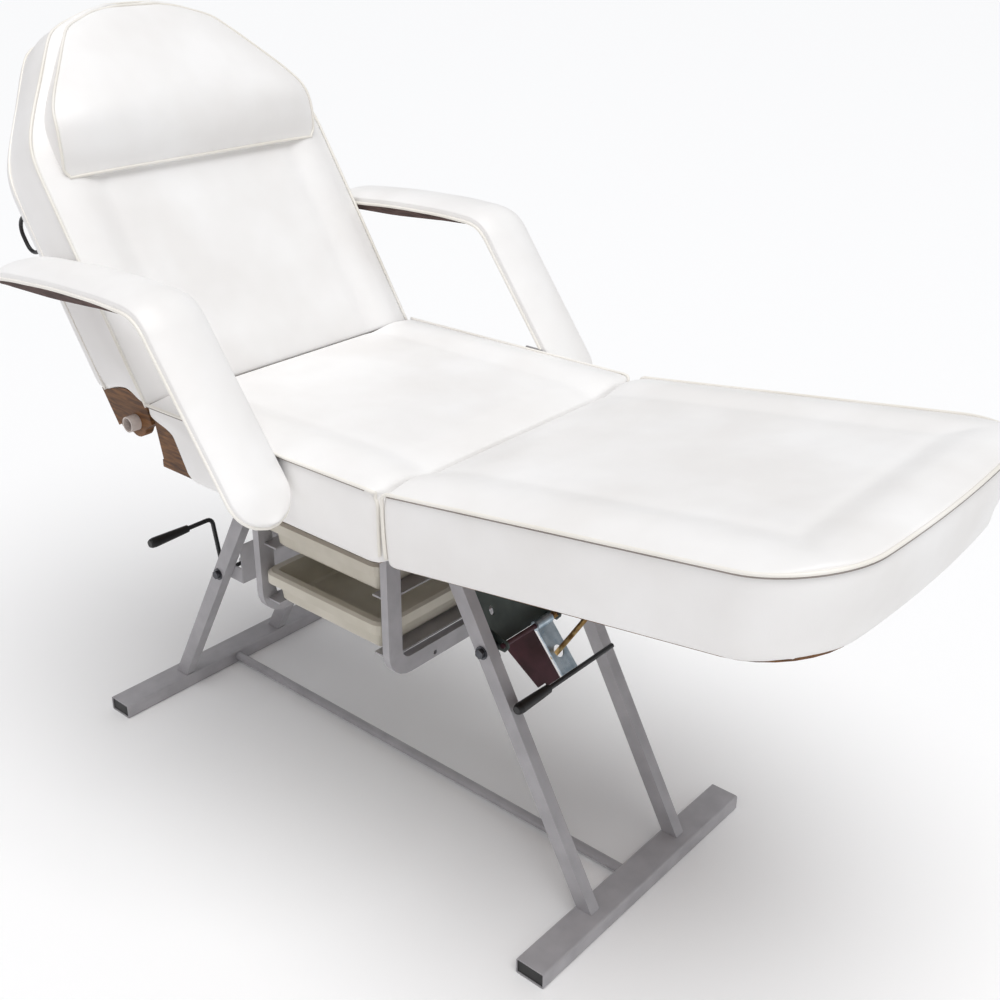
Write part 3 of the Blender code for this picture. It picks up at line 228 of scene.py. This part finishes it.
white_vinyl = embossed_vinyl("white_pvc_leathercloth", "F1EFED", "F8F7F6", 0.40, 0.52, 2.2)
piping_vinyl = embossed_vinyl("cream_piping_vinyl", "F0ECE3", "F8F5EF", 0.36, 0.46, 0.3)
# The grey finish is painted shadow. Thin tubes of it under the piping stand for the shade beneath the cord.
seam_shadow_finish = embossed_vinyl("painted_seam_shadow_grey", "8C8480", "A39B96", 0.60, 0.70, 0.1)
print("vinyl:", white_vinyl.name, piping_vinyl.name, seam_shadow_finish.name)

# %% [markdown]
# ### Metals and plastics
# The frame is mild-steel tube with a baked powder coat, which levels out into a
# faint orange peel. The small lock parts are zinc plated, bluish where plain
# and golden where passivated yellow. Grips and end plugs are moulded black
# plastic, and the trays are moulded in an off-white one.

# %% Powder coat and dark paint
def powder_coat(name, dark, light, roughness, metallic=0.0):
    made, tree, shader, place = start_finish(name, roughness, metallic)
    peel = add_node(tree, "ShaderNodeTexNoise", {"Vector": place, "Scale": 1000 / 3.0, "Detail": 2.0})
    tree.links.new(mottle(tree, place, 45, dark, light), shader.inputs["Base Color"])
    tree.links.new(vary(tree, place, 30, roughness - 0.06, roughness + 0.08), shader.inputs["Roughness"])
    tree.links.new(raise_by(tree, peel.outputs["Fac"], 0.15, 0.5), shader.inputs["Normal"])
    return made


grey_coat = powder_coat("silver_grey_powder_coat", "A6A4A7", "B2B0B3", 0.42, 0.2)
green_coat = powder_coat("dark_grey_green_paint", "3A4340", "4C5753", 0.5)
maroon_coat = powder_coat("dark_maroon_paint", "3B1F24", "55303A", 0.45)
print("coats:", grey_coat.name, green_coat.name, maroon_coat.name)

# %% Zinc plate
def zinc_plate(name, dark, light, roughness):
    made, tree, shader, place = start_finish(name, roughness, 1.0)
    drawn = add_node(tree, "ShaderNodeMapping", {"Vector": place, "Scale": (1.0, 0.12, 1.0)})
    lines = add_node(tree, "ShaderNodeTexNoise",
                     {"Vector": drawn.outputs["Vector"], "Scale": 900.0, "Detail": 2.0})
    tree.links.new(mottle(tree, place, 14, dark, light), shader.inputs["Base Color"])
    tree.links.new(vary(tree, place, 9, roughness - 0.08, roughness + 0.12), shader.inputs["Roughness"])
    tree.links.new(raise_by(tree, lines.outputs["Fac"], 0.06, 0.5), shader.inputs["Normal"])
    return made


blue_zinc = zinc_plate("bright_zinc_plate", "9FAFBA", "C4D0D8", 0.34)
yellow_zinc = zinc_plate("yellow_zinc_plate", "A87F4A", "D3B57C", 0.36)
dark_zinc = zinc_plate("black_oxide_bolts", "4A4B4F", "6B6C70", 0.42)
print("plated:", blue_zinc.name, yellow_zinc.name, dark_zinc.name)

# %% Moulded plastic
def moulded(name, dark, light, roughness, texture_mm, depth_mm):
    made, tree, shader, place = start_finish(name, roughness)
    pores = add_node(tree, "ShaderNodeTexNoise", {"Vector": place, "Scale": 1000 / texture_mm, "Detail": 3.0})
    tree.links.new(mottle(tree, place, 70, dark, light), shader.inputs["Base Color"])
    tree.links.new(vary(tree, place, 25, roughness - 0.05, roughness + 0.08), shader.inputs["Roughness"])
    tree.links.new(raise_by(tree, pores.outputs["Fac"], depth_mm, 0.5), shader.inputs["Normal"])
    return made


black_plastic = moulded("black_moulded_plastic", "0E0E0F", "1A1A1B", 0.42, 1.6, 0.12)
# The trays' off-white is their own colour, toned darker as painted shade for the shadow they sit in under the
# seat.
tray_plastic = moulded("shade_toned_off_white_plastic", "C9C3B4", "D6D0C2", 0.40, 2.0, 0.08)
tube_plug = moulded("pale_tube_end", "CFC4BE", "E0D8D3", 0.5, 2.0, 0.1)
black_rod = powder_coat("black_painted_rod", "141416", "242427", 0.36)
print("moulded:", black_plastic.name, tray_plastic.name)

# %% [markdown]
# ### Plywood
# The boards are stained plywood: long streaks of grain on the faces, and thin
# light and dark layers on the cut edges, 1.5 mm each. Only the streaks of grain
# are drawn; the layers are not.

# %% Plywood finish
def plywood(name, dark, light, turned):
    made, tree, shader, place = start_finish(name, 0.55)
    along = add_node(tree, "ShaderNodeMapping", {"Vector": place, "Rotation": (0.0, turned, 0.0),
                                                 "Scale": (1.0, 1.0, 8.0)})
    streaks = add_node(tree, "ShaderNodeTexNoise",
                       {"Vector": along.outputs["Vector"], "Scale": 26.0, "Detail": 6.0,
                                                    "Distortion": 0.6})
    ramp = add_node(tree, "ShaderNodeValToRGB", {"Fac": streaks.outputs["Fac"]})
    ramp.color_ramp.elements[0].position = 0.34
    ramp.color_ramp.elements[1].position = 0.66
    ramp.color_ramp.elements[0].color = linear(dark)
    ramp.color_ramp.elements[1].color = linear(light)
    tree.links.new(ramp.outputs["Color"], shader.inputs["Base Color"])
    tree.links.new(raise_by(tree, streaks.outputs["Fac"], 0.5, 0.6), shader.inputs["Normal"])
    return made


stained_plywood = plywood("stained_plywood", "4A2B12", "80552B", 0.9)
# The arm boards' dark reddish brown is partly the board's stain. It is partly painted shade and painted
# reddish reflection of the arm's shaded underside.
shade_darkened_plywood = plywood("arm_underside_painted_shade", "3B2722", "5E4540", 0.3)
print("wood:", stained_plywood.name, shade_darkened_plywood.name)

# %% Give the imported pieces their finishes
slot_finish = {"white_vinyl": white_vinyl, "plywood": stained_plywood, "grey_powder_coat": grey_coat,
               "black_plastic": black_plastic, "tray_plastic": tray_plastic, "zinc_plate": blue_zinc,
               "yellow_zinc": yellow_zinc, "dark_painted_steel": maroon_coat}
own_finish = {"arm_board_near": shade_darkened_plywood, "arm_board_far": shade_darkened_plywood, "back_pivot_tube": tube_plug,
              "front_cross_plate": green_coat, "front_lever_bar": black_rod, "rear_lever_shaft": black_rod,
              "towel_loop": black_rod, "knee_hinge_rod": dark_zinc}
for end in ("front", "rear"):
    for side in ("near", "far"):
        own_finish[f"{end}_leg_bolt_{side}"] = dark_zinc
for part in frame["record"]["subparts"]:
    node = frame["nodes"][part["node"]]
    for slot in node.material_slots:
        slot.material = own_finish.get(part["node"], slot_finish[part["material_slot"]])
print("finished nodes:", len(frame["nodes"]))

# %% [markdown]
# ## Cushions
# Each cushion is a slab of foam on a board, wrapped in vinyl whose panels are
# sewn at the upper edge with piping between them. A cube cut into a fine grid
# is bent to the cushion's outline. Its seam edges and the face on the board are
# pinned, and a cloth simulation then blows the panels out against the seams,
# which is what foam under tight vinyl does.

# %% Places of the sections
knee = Vector(joints["legrest_tilt"]["pos_m"])
hinge = Vector(joints["backrest_tilt"]["pos_m"])
leg_tilt = math.radians(8.2)
back_angle = math.radians(57.0)
leg_place = Matrix.Translation(knee) @ Matrix.Rotation(-leg_tilt, 4, "Y")
back_place = Matrix.Translation(hinge) @ Matrix.Rotation(back_angle, 4, "Y")
seat_low, seat_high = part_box("seat_cushion")
half_width = seat_high[1]
section_top = 0.123
board_top = 0.0275
print("seat cushion, metres:", [round(v, 3) for v in (*seat_low, *seat_high)])

# %% Block and corner helpers
def fine_block(long_cuts, cross_cuts, tall_cuts):
    """A cube from -1 to 1, cut into a grid of quads."""
    bm = bmesh.new()
    bmesh.ops.create_cube(bm, size=2.0)
    for axis, cuts in enumerate((long_cuts, cross_cuts, tall_cuts)):
        along = [edge for edge in bm.edges
                 if abs(edge.verts[0].co[axis] - edge.verts[1].co[axis]) > 1.0]
        bmesh.ops.subdivide_edges(bm, edges=along, cuts=cuts - 1, use_grid_fill=True)
    return bm


def lerp(a, b, share):
    return a + (b - a) * share


def smooth(low, high, value):
    share = min(max((value - low) / (high - low), 0.0), 1.0)
    return share * share * (3 - 2 * share)


def to_disc(first, second, radius):
    """Bends the square corner zone of a grid onto a quarter circle."""
    if first <= 0 or second <= 0:
        return first, second
    scale = max(first, second) / math.hypot(first, second)
    return first * scale, second * scale


def through(table, value):
    """The height of a smooth line through (place, height) pairs."""
    places = [pair[0] for pair in table]
    if value <= places[0]:
        return table[0][1]
    if value >= places[-1]:
        return table[-1][1]
    i = max(k for k, place in enumerate(places) if place <= value)
    i = min(i, len(table) - 2)
    (x0, y0), (x1, y1) = table[i], table[i + 1]

    def slope(k):
        if k <= 0 or k >= len(table) - 1:
            return 0.0 if k <= 0 else (table[k][1] - table[k - 1][1]) / (table[k][0] - table[k - 1][0])
        return (table[k + 1][1] - table[k - 1][1]) / (table[k + 1][0] - table[k - 1][0])

    span = x1 - x0
    t = (value - x0) / span
    return ((2 * t**3 - 3 * t**2 + 1) * y0 + (t**3 - 2 * t**2 + t) * span * slope(i)
            + (3 * t**2 - 2 * t**3) * y1 + (t**3 - t**2) * span * slope(i + 1))


def straight(table, value):
    """The height of a straight-sided line through (place, height) pairs."""
    for (x0, y0), (x1, y1) in zip(table, table[1:]):
        if value <= x1:
            return lerp(y0, y1, max(value - x0, 0.0) / (x1 - x0))
    return table[-1][1]


print("a quarter circle's middle:", [round(v, 3) for v in to_disc(1.0, 1.0, 1.0)])

# %% Shape of the seat
seat_rear = ((0.0, 0.088), (0.39, 0.064), (0.64, 0.048), (0.75, 0.010), (0.88, 0.001), (1.0, 0.003))


def seat_shape(u, v, w):
    """The seat: a rounded front edge, and a back end that leans in under the backrest."""
    front = seat_high[0]
    top, low = seat_high[2], seat_low[2]
    share = (w + 1) / 2
    rear = seat_low[0] + straight(seat_rear, share)
    x = lerp(rear, front, (u + 1) / 2)
    z = lerp(low, top - 0.008 * (1 - (u + 1) / 2), share)
    y = abs(v) * half_width
    corner = 0.022
    if x > front - corner and y > half_width - corner:
        dx, dy = to_disc(x - front + corner, y - half_width + corner, corner)
        x, y = front - corner + dx, half_width - corner + dy
    radius = 0.024
    dx, dz = to_disc(x - front + radius, z - top + radius, radius)
    x, z = front - radius + dx, top - radius + dz
    return Vector((x, math.copysign(y, v), z))


# %% Shape of the leg rest
leg_length = 0.6545
leg_corner = 0.110


def leg_shape(u, v, w):
    """The leg rest, from the knee axis: round outer corners and an end that leans in below."""
    share = (w + 1) / 2
    low, top = board_top, section_top
    start = 0.0222 - (top - lerp(low, top, share)) * math.tan(leg_tilt)
    x = lerp(start, leg_length, (u + 1) / 2)
    y = v * half_width
    side = 1 if y >= 0 else -1
    dx, dy = to_disc(x - leg_length + leg_corner, abs(y) - half_width + leg_corner, leg_corner)
    if x > leg_length - leg_corner and abs(y) > half_width - leg_corner:
        x, y = leg_length - leg_corner + dx, side * (half_width - leg_corner + dy)
    end = smooth(0.42, leg_length, x)
    x -= 0.009 * end * (y / 0.2) ** 2
    x -= 0.030 * end * (1 - share) ** 1.6
    y -= side * 0.004 * (1 - share) ** 3 * smooth(0.0, 0.10, abs(y))
    z = lerp(low, top, share)
    radius = 0.009
    dx, dz = to_disc(start + radius - x, z - top + radius, radius)
    if x < start + radius and z > top - radius:
        x, z = start + radius - dx, top - radius + dz
    return leg_place @ Vector((x, y, z))


# %% Shape of the backrest
back_widths = ((0.0, 0.281), (0.389, 0.281), (0.4285, 0.2757), (0.4645, 0.2589), (0.540, 0.2105),
               (0.6014, 0.1712), (0.6185, 0.1560), (0.6299, 0.1348), (0.6533, 0.0660), (0.657, 0.0440))
back_lower_end = ((-0.0427, 0.0703), (-0.027, 0.067), (-0.007, 0.061), (0.010, 0.053), (0.022, 0.043),
                  (0.032, 0.029), (0.043, 0.014), (0.050, 0.0095))
back_low, back_front = -0.0427, 0.050


def back_shape(u, v, w):
    """The backrest: straight sides, a narrowing head, and a lower end cut away over the cheeks."""
    ahead = lerp(back_low, back_front, (w + 1) / 2)
    drawn_in = 0.011 * max(w, 0.0)
    along = lerp(straight(back_lower_end, ahead), back_widths[-1][0] - drawn_in, (1 - u) / 2)
    y = v * through(back_widths, along + drawn_in * smooth(0.45, 0.64, along))
    return back_place @ Vector((-along, y, ahead))


# %% Shape of the head pillow
pillow_widths = ((0.372, 0.241), (0.384, 0.249), (0.450, 0.2445), (0.485, 0.2285), (0.540, 0.189),
                 (0.588, 0.153), (0.606, 0.135), (0.622, 0.100), (0.632, 0.072), (0.634, 0.055))
pillow_heights = ((0.372, 0.016), (0.405, 0.042), (0.440, 0.060),
                  (0.475, 0.057), (0.55, 0.040), (0.634, 0.016))


def pillow_shape(u, v, w):
    """The pillow: a wedge that is thickest a quarter of the way up."""
    along = lerp(0.634, 0.372, (u + 1) / 2)
    y = v * through(pillow_widths, along)
    height = through(pillow_heights, along) * (1 - 0.30 * abs(v) ** 5)
    return back_place @ Vector((-along, y, back_front + 0.0008 + height * (w + 1) / 2))


# %% Shape of the arm pads
arm_points = ((-0.722, 0.857), (-0.694, 0.8635), (-0.665, 0.8685), (-0.600, 0.8745), (-0.540, 0.8788),
              (-0.480, 0.8808), (-0.430, 0.8816), (-0.385, 0.8803), (-0.3642, 0.8788), (-0.3457, 0.8735),
              (-0.3303, 0.8610), (-0.316, 0.8420), (-0.270, 0.7804), (-0.210, 0.7002), (-0.150, 0.620))


def arm_line():
    """The arm's lower line as places at even distances, with the upward normal at each."""
    curve = bpy.data.curves.new("arm_guide", "CURVE")
    curve.dimensions = "3D"
    line = curve.splines.new("BEZIER")
    line.bezier_points.add(len(arm_points) - 1)
    for target, (x, z) in zip(line.bezier_points, arm_points):
        target.co = (knee.x + x, 0.0, z)
        target.handle_left_type = target.handle_right_type = "AUTO"
    line.resolution_u = 24
    holder = bpy.data.objects.new("arm_guide", curve)
    bpy.context.scene.collection.objects.link(holder)
    mesh = bpy.data.meshes.new_from_object(holder)
    points = [vert.co.copy() for vert in mesh.vertices]
    bpy.data.objects.remove(holder)
    bpy.data.meshes.remove(mesh)
    lengths = [0.0]
    for a, b in zip(points, points[1:]):
        lengths.append(lengths[-1] + (b - a).length)
    return points, lengths


arm_path, arm_lengths = arm_line()
arm_total = arm_lengths[-1]
arm_inner, arm_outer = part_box("arm_pad_far")[0][1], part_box("arm_pad_far")[1][1]
arm_half = (arm_outer - arm_inner) / 2
print("arm's length along its bend, metres:", round(arm_total, 3))


def arm_place(distance):
    """The point at a distance along the arm, and the direction up from it."""
    distance = min(max(distance, 0.0), arm_total)
    i = next((k for k in range(1, len(arm_lengths)) if arm_lengths[k] >= distance), len(arm_lengths) - 1)
    share = (distance - arm_lengths[i - 1]) / (arm_lengths[i] - arm_lengths[i - 1])
    ahead = arm_path[min(i + 6, len(arm_path) - 1)] - arm_path[max(i - 7, 0)]
    ahead.normalize()
    return arm_path[i - 1].lerp(arm_path[i], share), Vector((-ahead.z, 0.0, ahead.x))


def arm_shape(sign):
    def shape(u, v, w):
        """An arm pad: a padded band with round ends and a domed top."""
        distance = arm_total * (u + 1) / 2
        from_end = min(distance, arm_total - distance)
        reach = arm_half
        depth = min(from_end + 0.0008, reach)
        width = math.sqrt(max(reach ** 2 - (reach - depth) ** 2, 0.0)) / reach
        across = v * arm_half * width
        height = 0.021 * (1 - 0.50 * abs(v) ** 2.6) * lerp(0.55, 1.0, smooth(0.0, 0.05, from_end))
        place, up = arm_place(distance)
        point = place + up * (0.0006 + height * (w + 1) / 2)
        point.y = sign * (arm_inner + arm_half) + across
        return point
    return shape


print("shapes are ready")

# %% Make a cushion and pin its seams
def wrapped(shape, cuts, u, v, down, bare_ends):
    """A point of the face on the board, whose rim turns down over the board's edge."""
    from_end, from_side = (round((1 - abs(value)) * count / 2) for value, count in zip((u, v), cuts))
    ring = min(from_end, from_side)
    if ring > 2 or (from_end <= from_side and round(u) in bare_ends):
        return shape(u, v, -1)
    at_u, at_v = (math.copysign(1, u), v) if from_end < from_side else (u, math.copysign(1, v))
    edge = shape(at_u, at_v, -1)
    inward = (shape(at_u * 0.9, at_v * 0.9, -1) - edge).normalized()
    return edge + inward * (0.0, 0.0062, 0.0068)[ring] + down * (1.0, 1.0, 0.02)[ring]


def cushion(name, shape, cuts, groove=0.0022, down=None, bare_ends=()):
    """A cushion ready to be blown up: pinned on its board, along its seam and at its edges."""
    bm = fine_block(*cuts)
    pinned = []
    inner = 2.0 / cuts[2]
    for vert in bm.verts:
        u, v, w = vert.co
        side = abs(u) > 0.999 or abs(v) > 0.999
        bottom = w < -0.999
        seam = side and w > 0.999
        under_seam = side and abs(w - (1 - inner)) < 0.01
        pinned.append(1.0 if bottom or seam else (0.9 if under_seam else 0.0))
        pull = groove if under_seam else 0.0
        place = wrapped(shape, cuts, u, v, down, bare_ends) if bottom and down else shape(u, v, w)
        if pull:
            middle = shape(u * 0.9, v * 0.9, w)
            place = place + (middle - place).normalized() * pull
        vert.co = place
    bmesh.ops.recalc_face_normals(bm, faces=bm.faces)
    mesh = bpy.data.meshes.new(name)
    bm.to_mesh(mesh)
    bm.free()
    made = bpy.data.objects.new(name, mesh)
    bpy.context.scene.collection.objects.link(made)
    group = made.vertex_groups.new(name="pinned")
    for i, weight in enumerate(pinned):
        if weight:
            group.add([i], weight, "REPLACE")
    mesh.materials.append(white_vinyl)
    mesh.shade_smooth()
    return made


cushions = {
    "seat_cover": (
        cushion("seat_cover", seat_shape, (56, 62, 12), 0.0022, Vector((0, 0, -0.0118)), (-1,)),
        0.006),
    "legrest_cover": (cushion("legrest_cover", leg_shape, (72, 64, 12), 0.0022,
                              leg_place.to_3x3() @ Vector((0, 0, -0.0118))), 0.006),
    "back_cover": (cushion("back_cover", back_shape, (78, 62, 12), 0.0022,
                           back_place.to_3x3() @ Vector((0, 0, -0.0118)), (1,)), 0.006),
    "pillow_cover": (cushion("pillow_cover", pillow_shape, (40, 60, 8), 0.001), 0.007),
    "arm_cover_near": (cushion("arm_cover_near", arm_shape(-1), (120, 18, 6), 0.0012), 0.0025),
    "arm_cover_far": (cushion("arm_cover_far", arm_shape(1), (120, 18, 6), 0.0012), 0.0025),
}
print("cushions:", {name: len(made.data.polygons) for name, (made, most) in cushions.items()})

# %% Blow the cushions up
def inflate(made, pressure=4.0):
    cloth = made.modifiers.new("cloth", "CLOTH")
    cloth.settings.quality = 5
    cloth.settings.mass = 0.4
    cloth.settings.use_pressure = True
    cloth.settings.uniform_pressure_force = pressure
    cloth.settings.effector_weights.gravity = 0.0
    cloth.settings.vertex_group_mass = "pinned"
    cloth.settings.tension_stiffness = 30.0
    cloth.settings.compression_stiffness = 30.0
    cloth.settings.bending_stiffness = 2.0
    cloth.point_cache.frame_start = 1
    cloth.point_cache.frame_end = 20


def settle(pads):
    """Steps the simulation, then keeps each pad's new shape, moved no further than its limit."""
    scene = bpy.context.scene
    for made, most in pads.values():
        inflate(made)
    for step in range(1, 21):
        scene.frame_set(step)
    for name, (made, most) in pads.items():
        start = [vert.co.copy() for vert in made.data.vertices]
        graph = bpy.context.evaluated_depsgraph_get()
        blown = [vert.co.copy() for vert in made.evaluated_get(graph).data.vertices]
        moved = 0.0
        for vert, before, after in zip(made.data.vertices, start, blown):
            step = after - before
            if step.length > most:
                step = step.normalized() * most
            moved = max(moved, step.length)
            vert.co = before + step
        made.modifiers.clear()
        print(name, "swelled by up to", round(moved * 1000, 1), "mm")
        finish = made.modifiers.new("round", "SUBSURF")
        finish.levels = finish.render_levels = 1
    scene.frame_set(1)


settle(cushions)

# %% [markdown]
# ### Bolsters and creases
# The foam is thicker along the long edges of each section, so the middle lies a
# few millimetres lower. The vinyl turns down into it along a soft crease. This
# is a change of height that depends on the distance from the edge, made after
# the simulation so that it stays where it is sewn.

# %% Raise the bolsters
def bolster(distance, high, width):
    """The rise at a distance from the edge."""
    rise = smooth(0.0, width * 0.45, distance) * (1 - smooth(width * 0.55, width, distance))
    crease = math.exp(-((distance - width * 1.03) / 0.010) ** 2)
    return high * rise - 0.0016 * crease


def raise_bolsters(made, place, edge_distance, top, high, width):
    back = place.inverted()
    up = (place.to_3x3() @ Vector((0, 0, 1))).normalized()
    for vert in made.data.vertices:
        local = back @ vert.co
        lift = smooth(top - 0.018, top - 0.002, local.z)
        if lift:
            vert.co += up * lift * bolster(edge_distance(local), high, width)


def leg_edge(local):
    return min(half_width - abs(local.y), leg_length - local.x)


def seat_edge(local):
    return half_width - abs(local.y)


def back_edge(local):
    along = -local.x
    return through(back_widths, along) - abs(local.y)


raise_bolsters(cushions["legrest_cover"][0], leg_place, leg_edge, section_top, 0.0065, 0.100)
raise_bolsters(cushions["seat_cover"][0], Matrix.Translation((0, 0, seat_high[2])), seat_edge,
               0.0, 0.0065, 0.100)
raise_bolsters(cushions["back_cover"][0], back_place, back_edge, back_front, 0.0080, 0.092)
print("bolsters raised")

# %% [markdown]
# ### Piping
# Piping is a cord wrapped in vinyl and caught in the seam. It is a thin round
# bar along the seam's path, so the paths are taken from the cushion shapes.
# Under the piping of the seat and the leg rest, a thinner grey bar is painted shadow: the shade beneath the
# cord.

# %% Piping helpers
def tube_along(name, points, radius, finish, closed=False):
    curve = bpy.data.curves.new(name, "CURVE")
    curve.dimensions = "3D"
    curve.bevel_depth = radius
    curve.bevel_resolution = 2
    curve.use_fill_caps = True
    line = curve.splines.new("POLY")
    line.points.add(len(points) - 1)
    for target, point in zip(line.points, points):
        target.co = (*point, 1.0)
    line.use_cyclic_u = closed
    holder = bpy.data.objects.new(name + "_guide", curve)
    bpy.context.scene.collection.objects.link(holder)
    bpy.context.view_layer.update()
    graph = bpy.context.evaluated_depsgraph_get()
    mesh = bpy.data.meshes.new_from_object(holder.evaluated_get(graph))
    bpy.data.objects.remove(holder)
    bm = bmesh.new()
    bm.from_mesh(mesh)
    bmesh.ops.remove_doubles(bm, verts=bm.verts, dist=1e-5)
    bmesh.ops.recalc_face_normals(bm, faces=bm.faces)
    bm.to_mesh(mesh)
    bm.free()
    mesh.name = name
    mesh.materials.clear()
    mesh.materials.append(finish)
    mesh.shade_smooth()
    made = bpy.data.objects.new(name, mesh)
    bpy.context.scene.collection.objects.link(made)
    return made


def steps(low, high, count):
    return [lerp(low, high, i / count) for i in range(count + 1)]


def outward(shape, u, v, w, by):
    """A point of the seam, set out a little from the cushion's middle."""
    place = shape(u, v, w)
    middle = shape(u * 0.9, v * 0.9, w)
    return place + (place - middle).normalized() * by


print("steps of a seam:", steps(0, 1, 4))

# %% Piping of the seat and the leg rest
piping = {}


def side_seam(shape, side, outward_by):
    """Along one side's upper edge from the back, over the front edge and down it."""
    path = [outward(shape, u, side, 1, outward_by) for u in steps(-1, 1, 60)]
    path += [outward(shape, 1, side, w, outward_by) for w in steps(1, -1, 12)[1:]]
    return path


for side, name in ((-1, "near"), (1, "far")):
    piping[f"seat_piping_{name}"] = (tube_along(f"seat_piping_{name}", side_seam(seat_shape, side, 0.0006),
                                                0.0024, piping_vinyl), "base")
    # A grey tube 3.2 mm under each seat piping is painted shadow, the shade under the cord, not a sewn part.
    seat_seam_shadow_points = [point + Vector((0, 0, -0.0032)) for point in side_seam(seat_shape, side, 0.0004)[:58]]
    piping[f"seat_stitches_{name}"] = (
        tube_along(f"seat_stitches_{name}", seat_seam_shadow_points, 0.0011, seam_shadow_finish), "base")

leg_seam = [outward(leg_shape, -1, -1, w, 0.0006) for w in steps(-1, 1, 12)]
leg_seam += [outward(leg_shape, u, -1, 1, 0.0006) for u in steps(-1, 1, 70)[1:]]
leg_seam += [outward(leg_shape, 1, v, 1, 0.0006) for v in steps(-1, 1, 60)[1:]]
leg_seam += [outward(leg_shape, u, 1, 1, 0.0006) for u in steps(1, -1, 70)[1:]]
leg_seam += [outward(leg_shape, -1, 1, w, 0.0006) for w in steps(1, -1, 12)[1:]]
piping["legrest_piping"] = (tube_along("legrest_piping", leg_seam, 0.0026, piping_vinyl), "legrest")
# A grey tube 3.4 mm under the leg rest piping is painted shadow, the shade under the cord, not a sewn part.
leg_down = leg_place.to_3x3() @ Vector((0, 0, -0.0034))
leg_seam_shadow_points = [point + leg_down for point in leg_seam[13:-12]]
piping["legrest_seam_shadow_line"] = (tube_along("legrest_seam_shadow_line", leg_seam_shadow_points, 0.0013, seam_shadow_finish), "legrest")
print("seams of the seat and leg rest:", len(piping))

# %% Piping of the backrest and the pillow
def round_seam(shape, w, by, bottom_end=True):
    path = [outward(shape, u, -1, w, by) for u in steps(1, -1, 70)]
    path += [outward(shape, -1, v, w, by) for v in steps(-1, 1, 16)[1:]]
    path += [outward(shape, u, 1, w, by) for u in steps(-1, 1, 70)[1:]]
    if bottom_end:
        path += [outward(shape, 1, v, w, by) for v in steps(1, -1, 30)[1:-1]]
    return path


piping["back_front_piping"] = (tube_along("back_front_piping", round_seam(back_shape, 1, 0.0006, False),
                                          0.0024, piping_vinyl), "backrest")
piping["back_rear_piping"] = (tube_along("back_rear_piping", round_seam(back_shape, -0.86, 0.0010, False),
                                         0.0020, piping_vinyl), "backrest")
piping["pillow_piping"] = (tube_along("pillow_piping", round_seam(pillow_shape, 1, 0.0008),
                                      0.0022, piping_vinyl, closed=True), "backrest")
print("seams so far:", len(piping))

# %% Piping of the arms
def arm_seam(sign):
    shape = arm_shape(sign)
    path = [outward(shape, u, -1, -0.9, 0.0008) for u in steps(-1, 1, 110)]
    path += [outward(shape, u, 1, -0.9, 0.0008) for u in steps(1, -1, 110)]
    kept = [path[0]]
    for point in path[1:]:
        if (point - kept[-1]).length > 0.0012:
            kept.append(point)
    return kept


for sign, name in ((-1, "near"), (1, "far")):
    piping[f"arm_piping_{name}"] = (tube_along(f"arm_piping_{name}", arm_seam(sign), 0.0026, piping_vinyl,
                                               closed=True), "base")
print("all seams:", len(piping))

# %% [markdown]
# ## Hand every piece to its body
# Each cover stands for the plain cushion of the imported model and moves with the
# same body. The piping moves with the cushion that it is sewn to.

# %% Ride and replace
cover_jobs = (("seat_cover", "base", "seat_cushion", 0.9),
              ("legrest_cover", "legrest", "legrest_cushion", 0.9),
              ("back_cover", "backrest", "back_cushion", 0.9),
              ("pillow_cover", "backrest", "head_pillow", 0.8),
              ("arm_cover_near", "base", "arm_pad_near", 0.9), ("arm_cover_far", "base", "arm_pad_far", 0.9))
for name, body, node, fill in cover_jobs:
    cover = cushions[name][0]
    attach(cover, body)
    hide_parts(node)
for seam, body in piping.values():
    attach(seam, body)
print("covers:", len(cover_jobs), "seams:", len(piping))
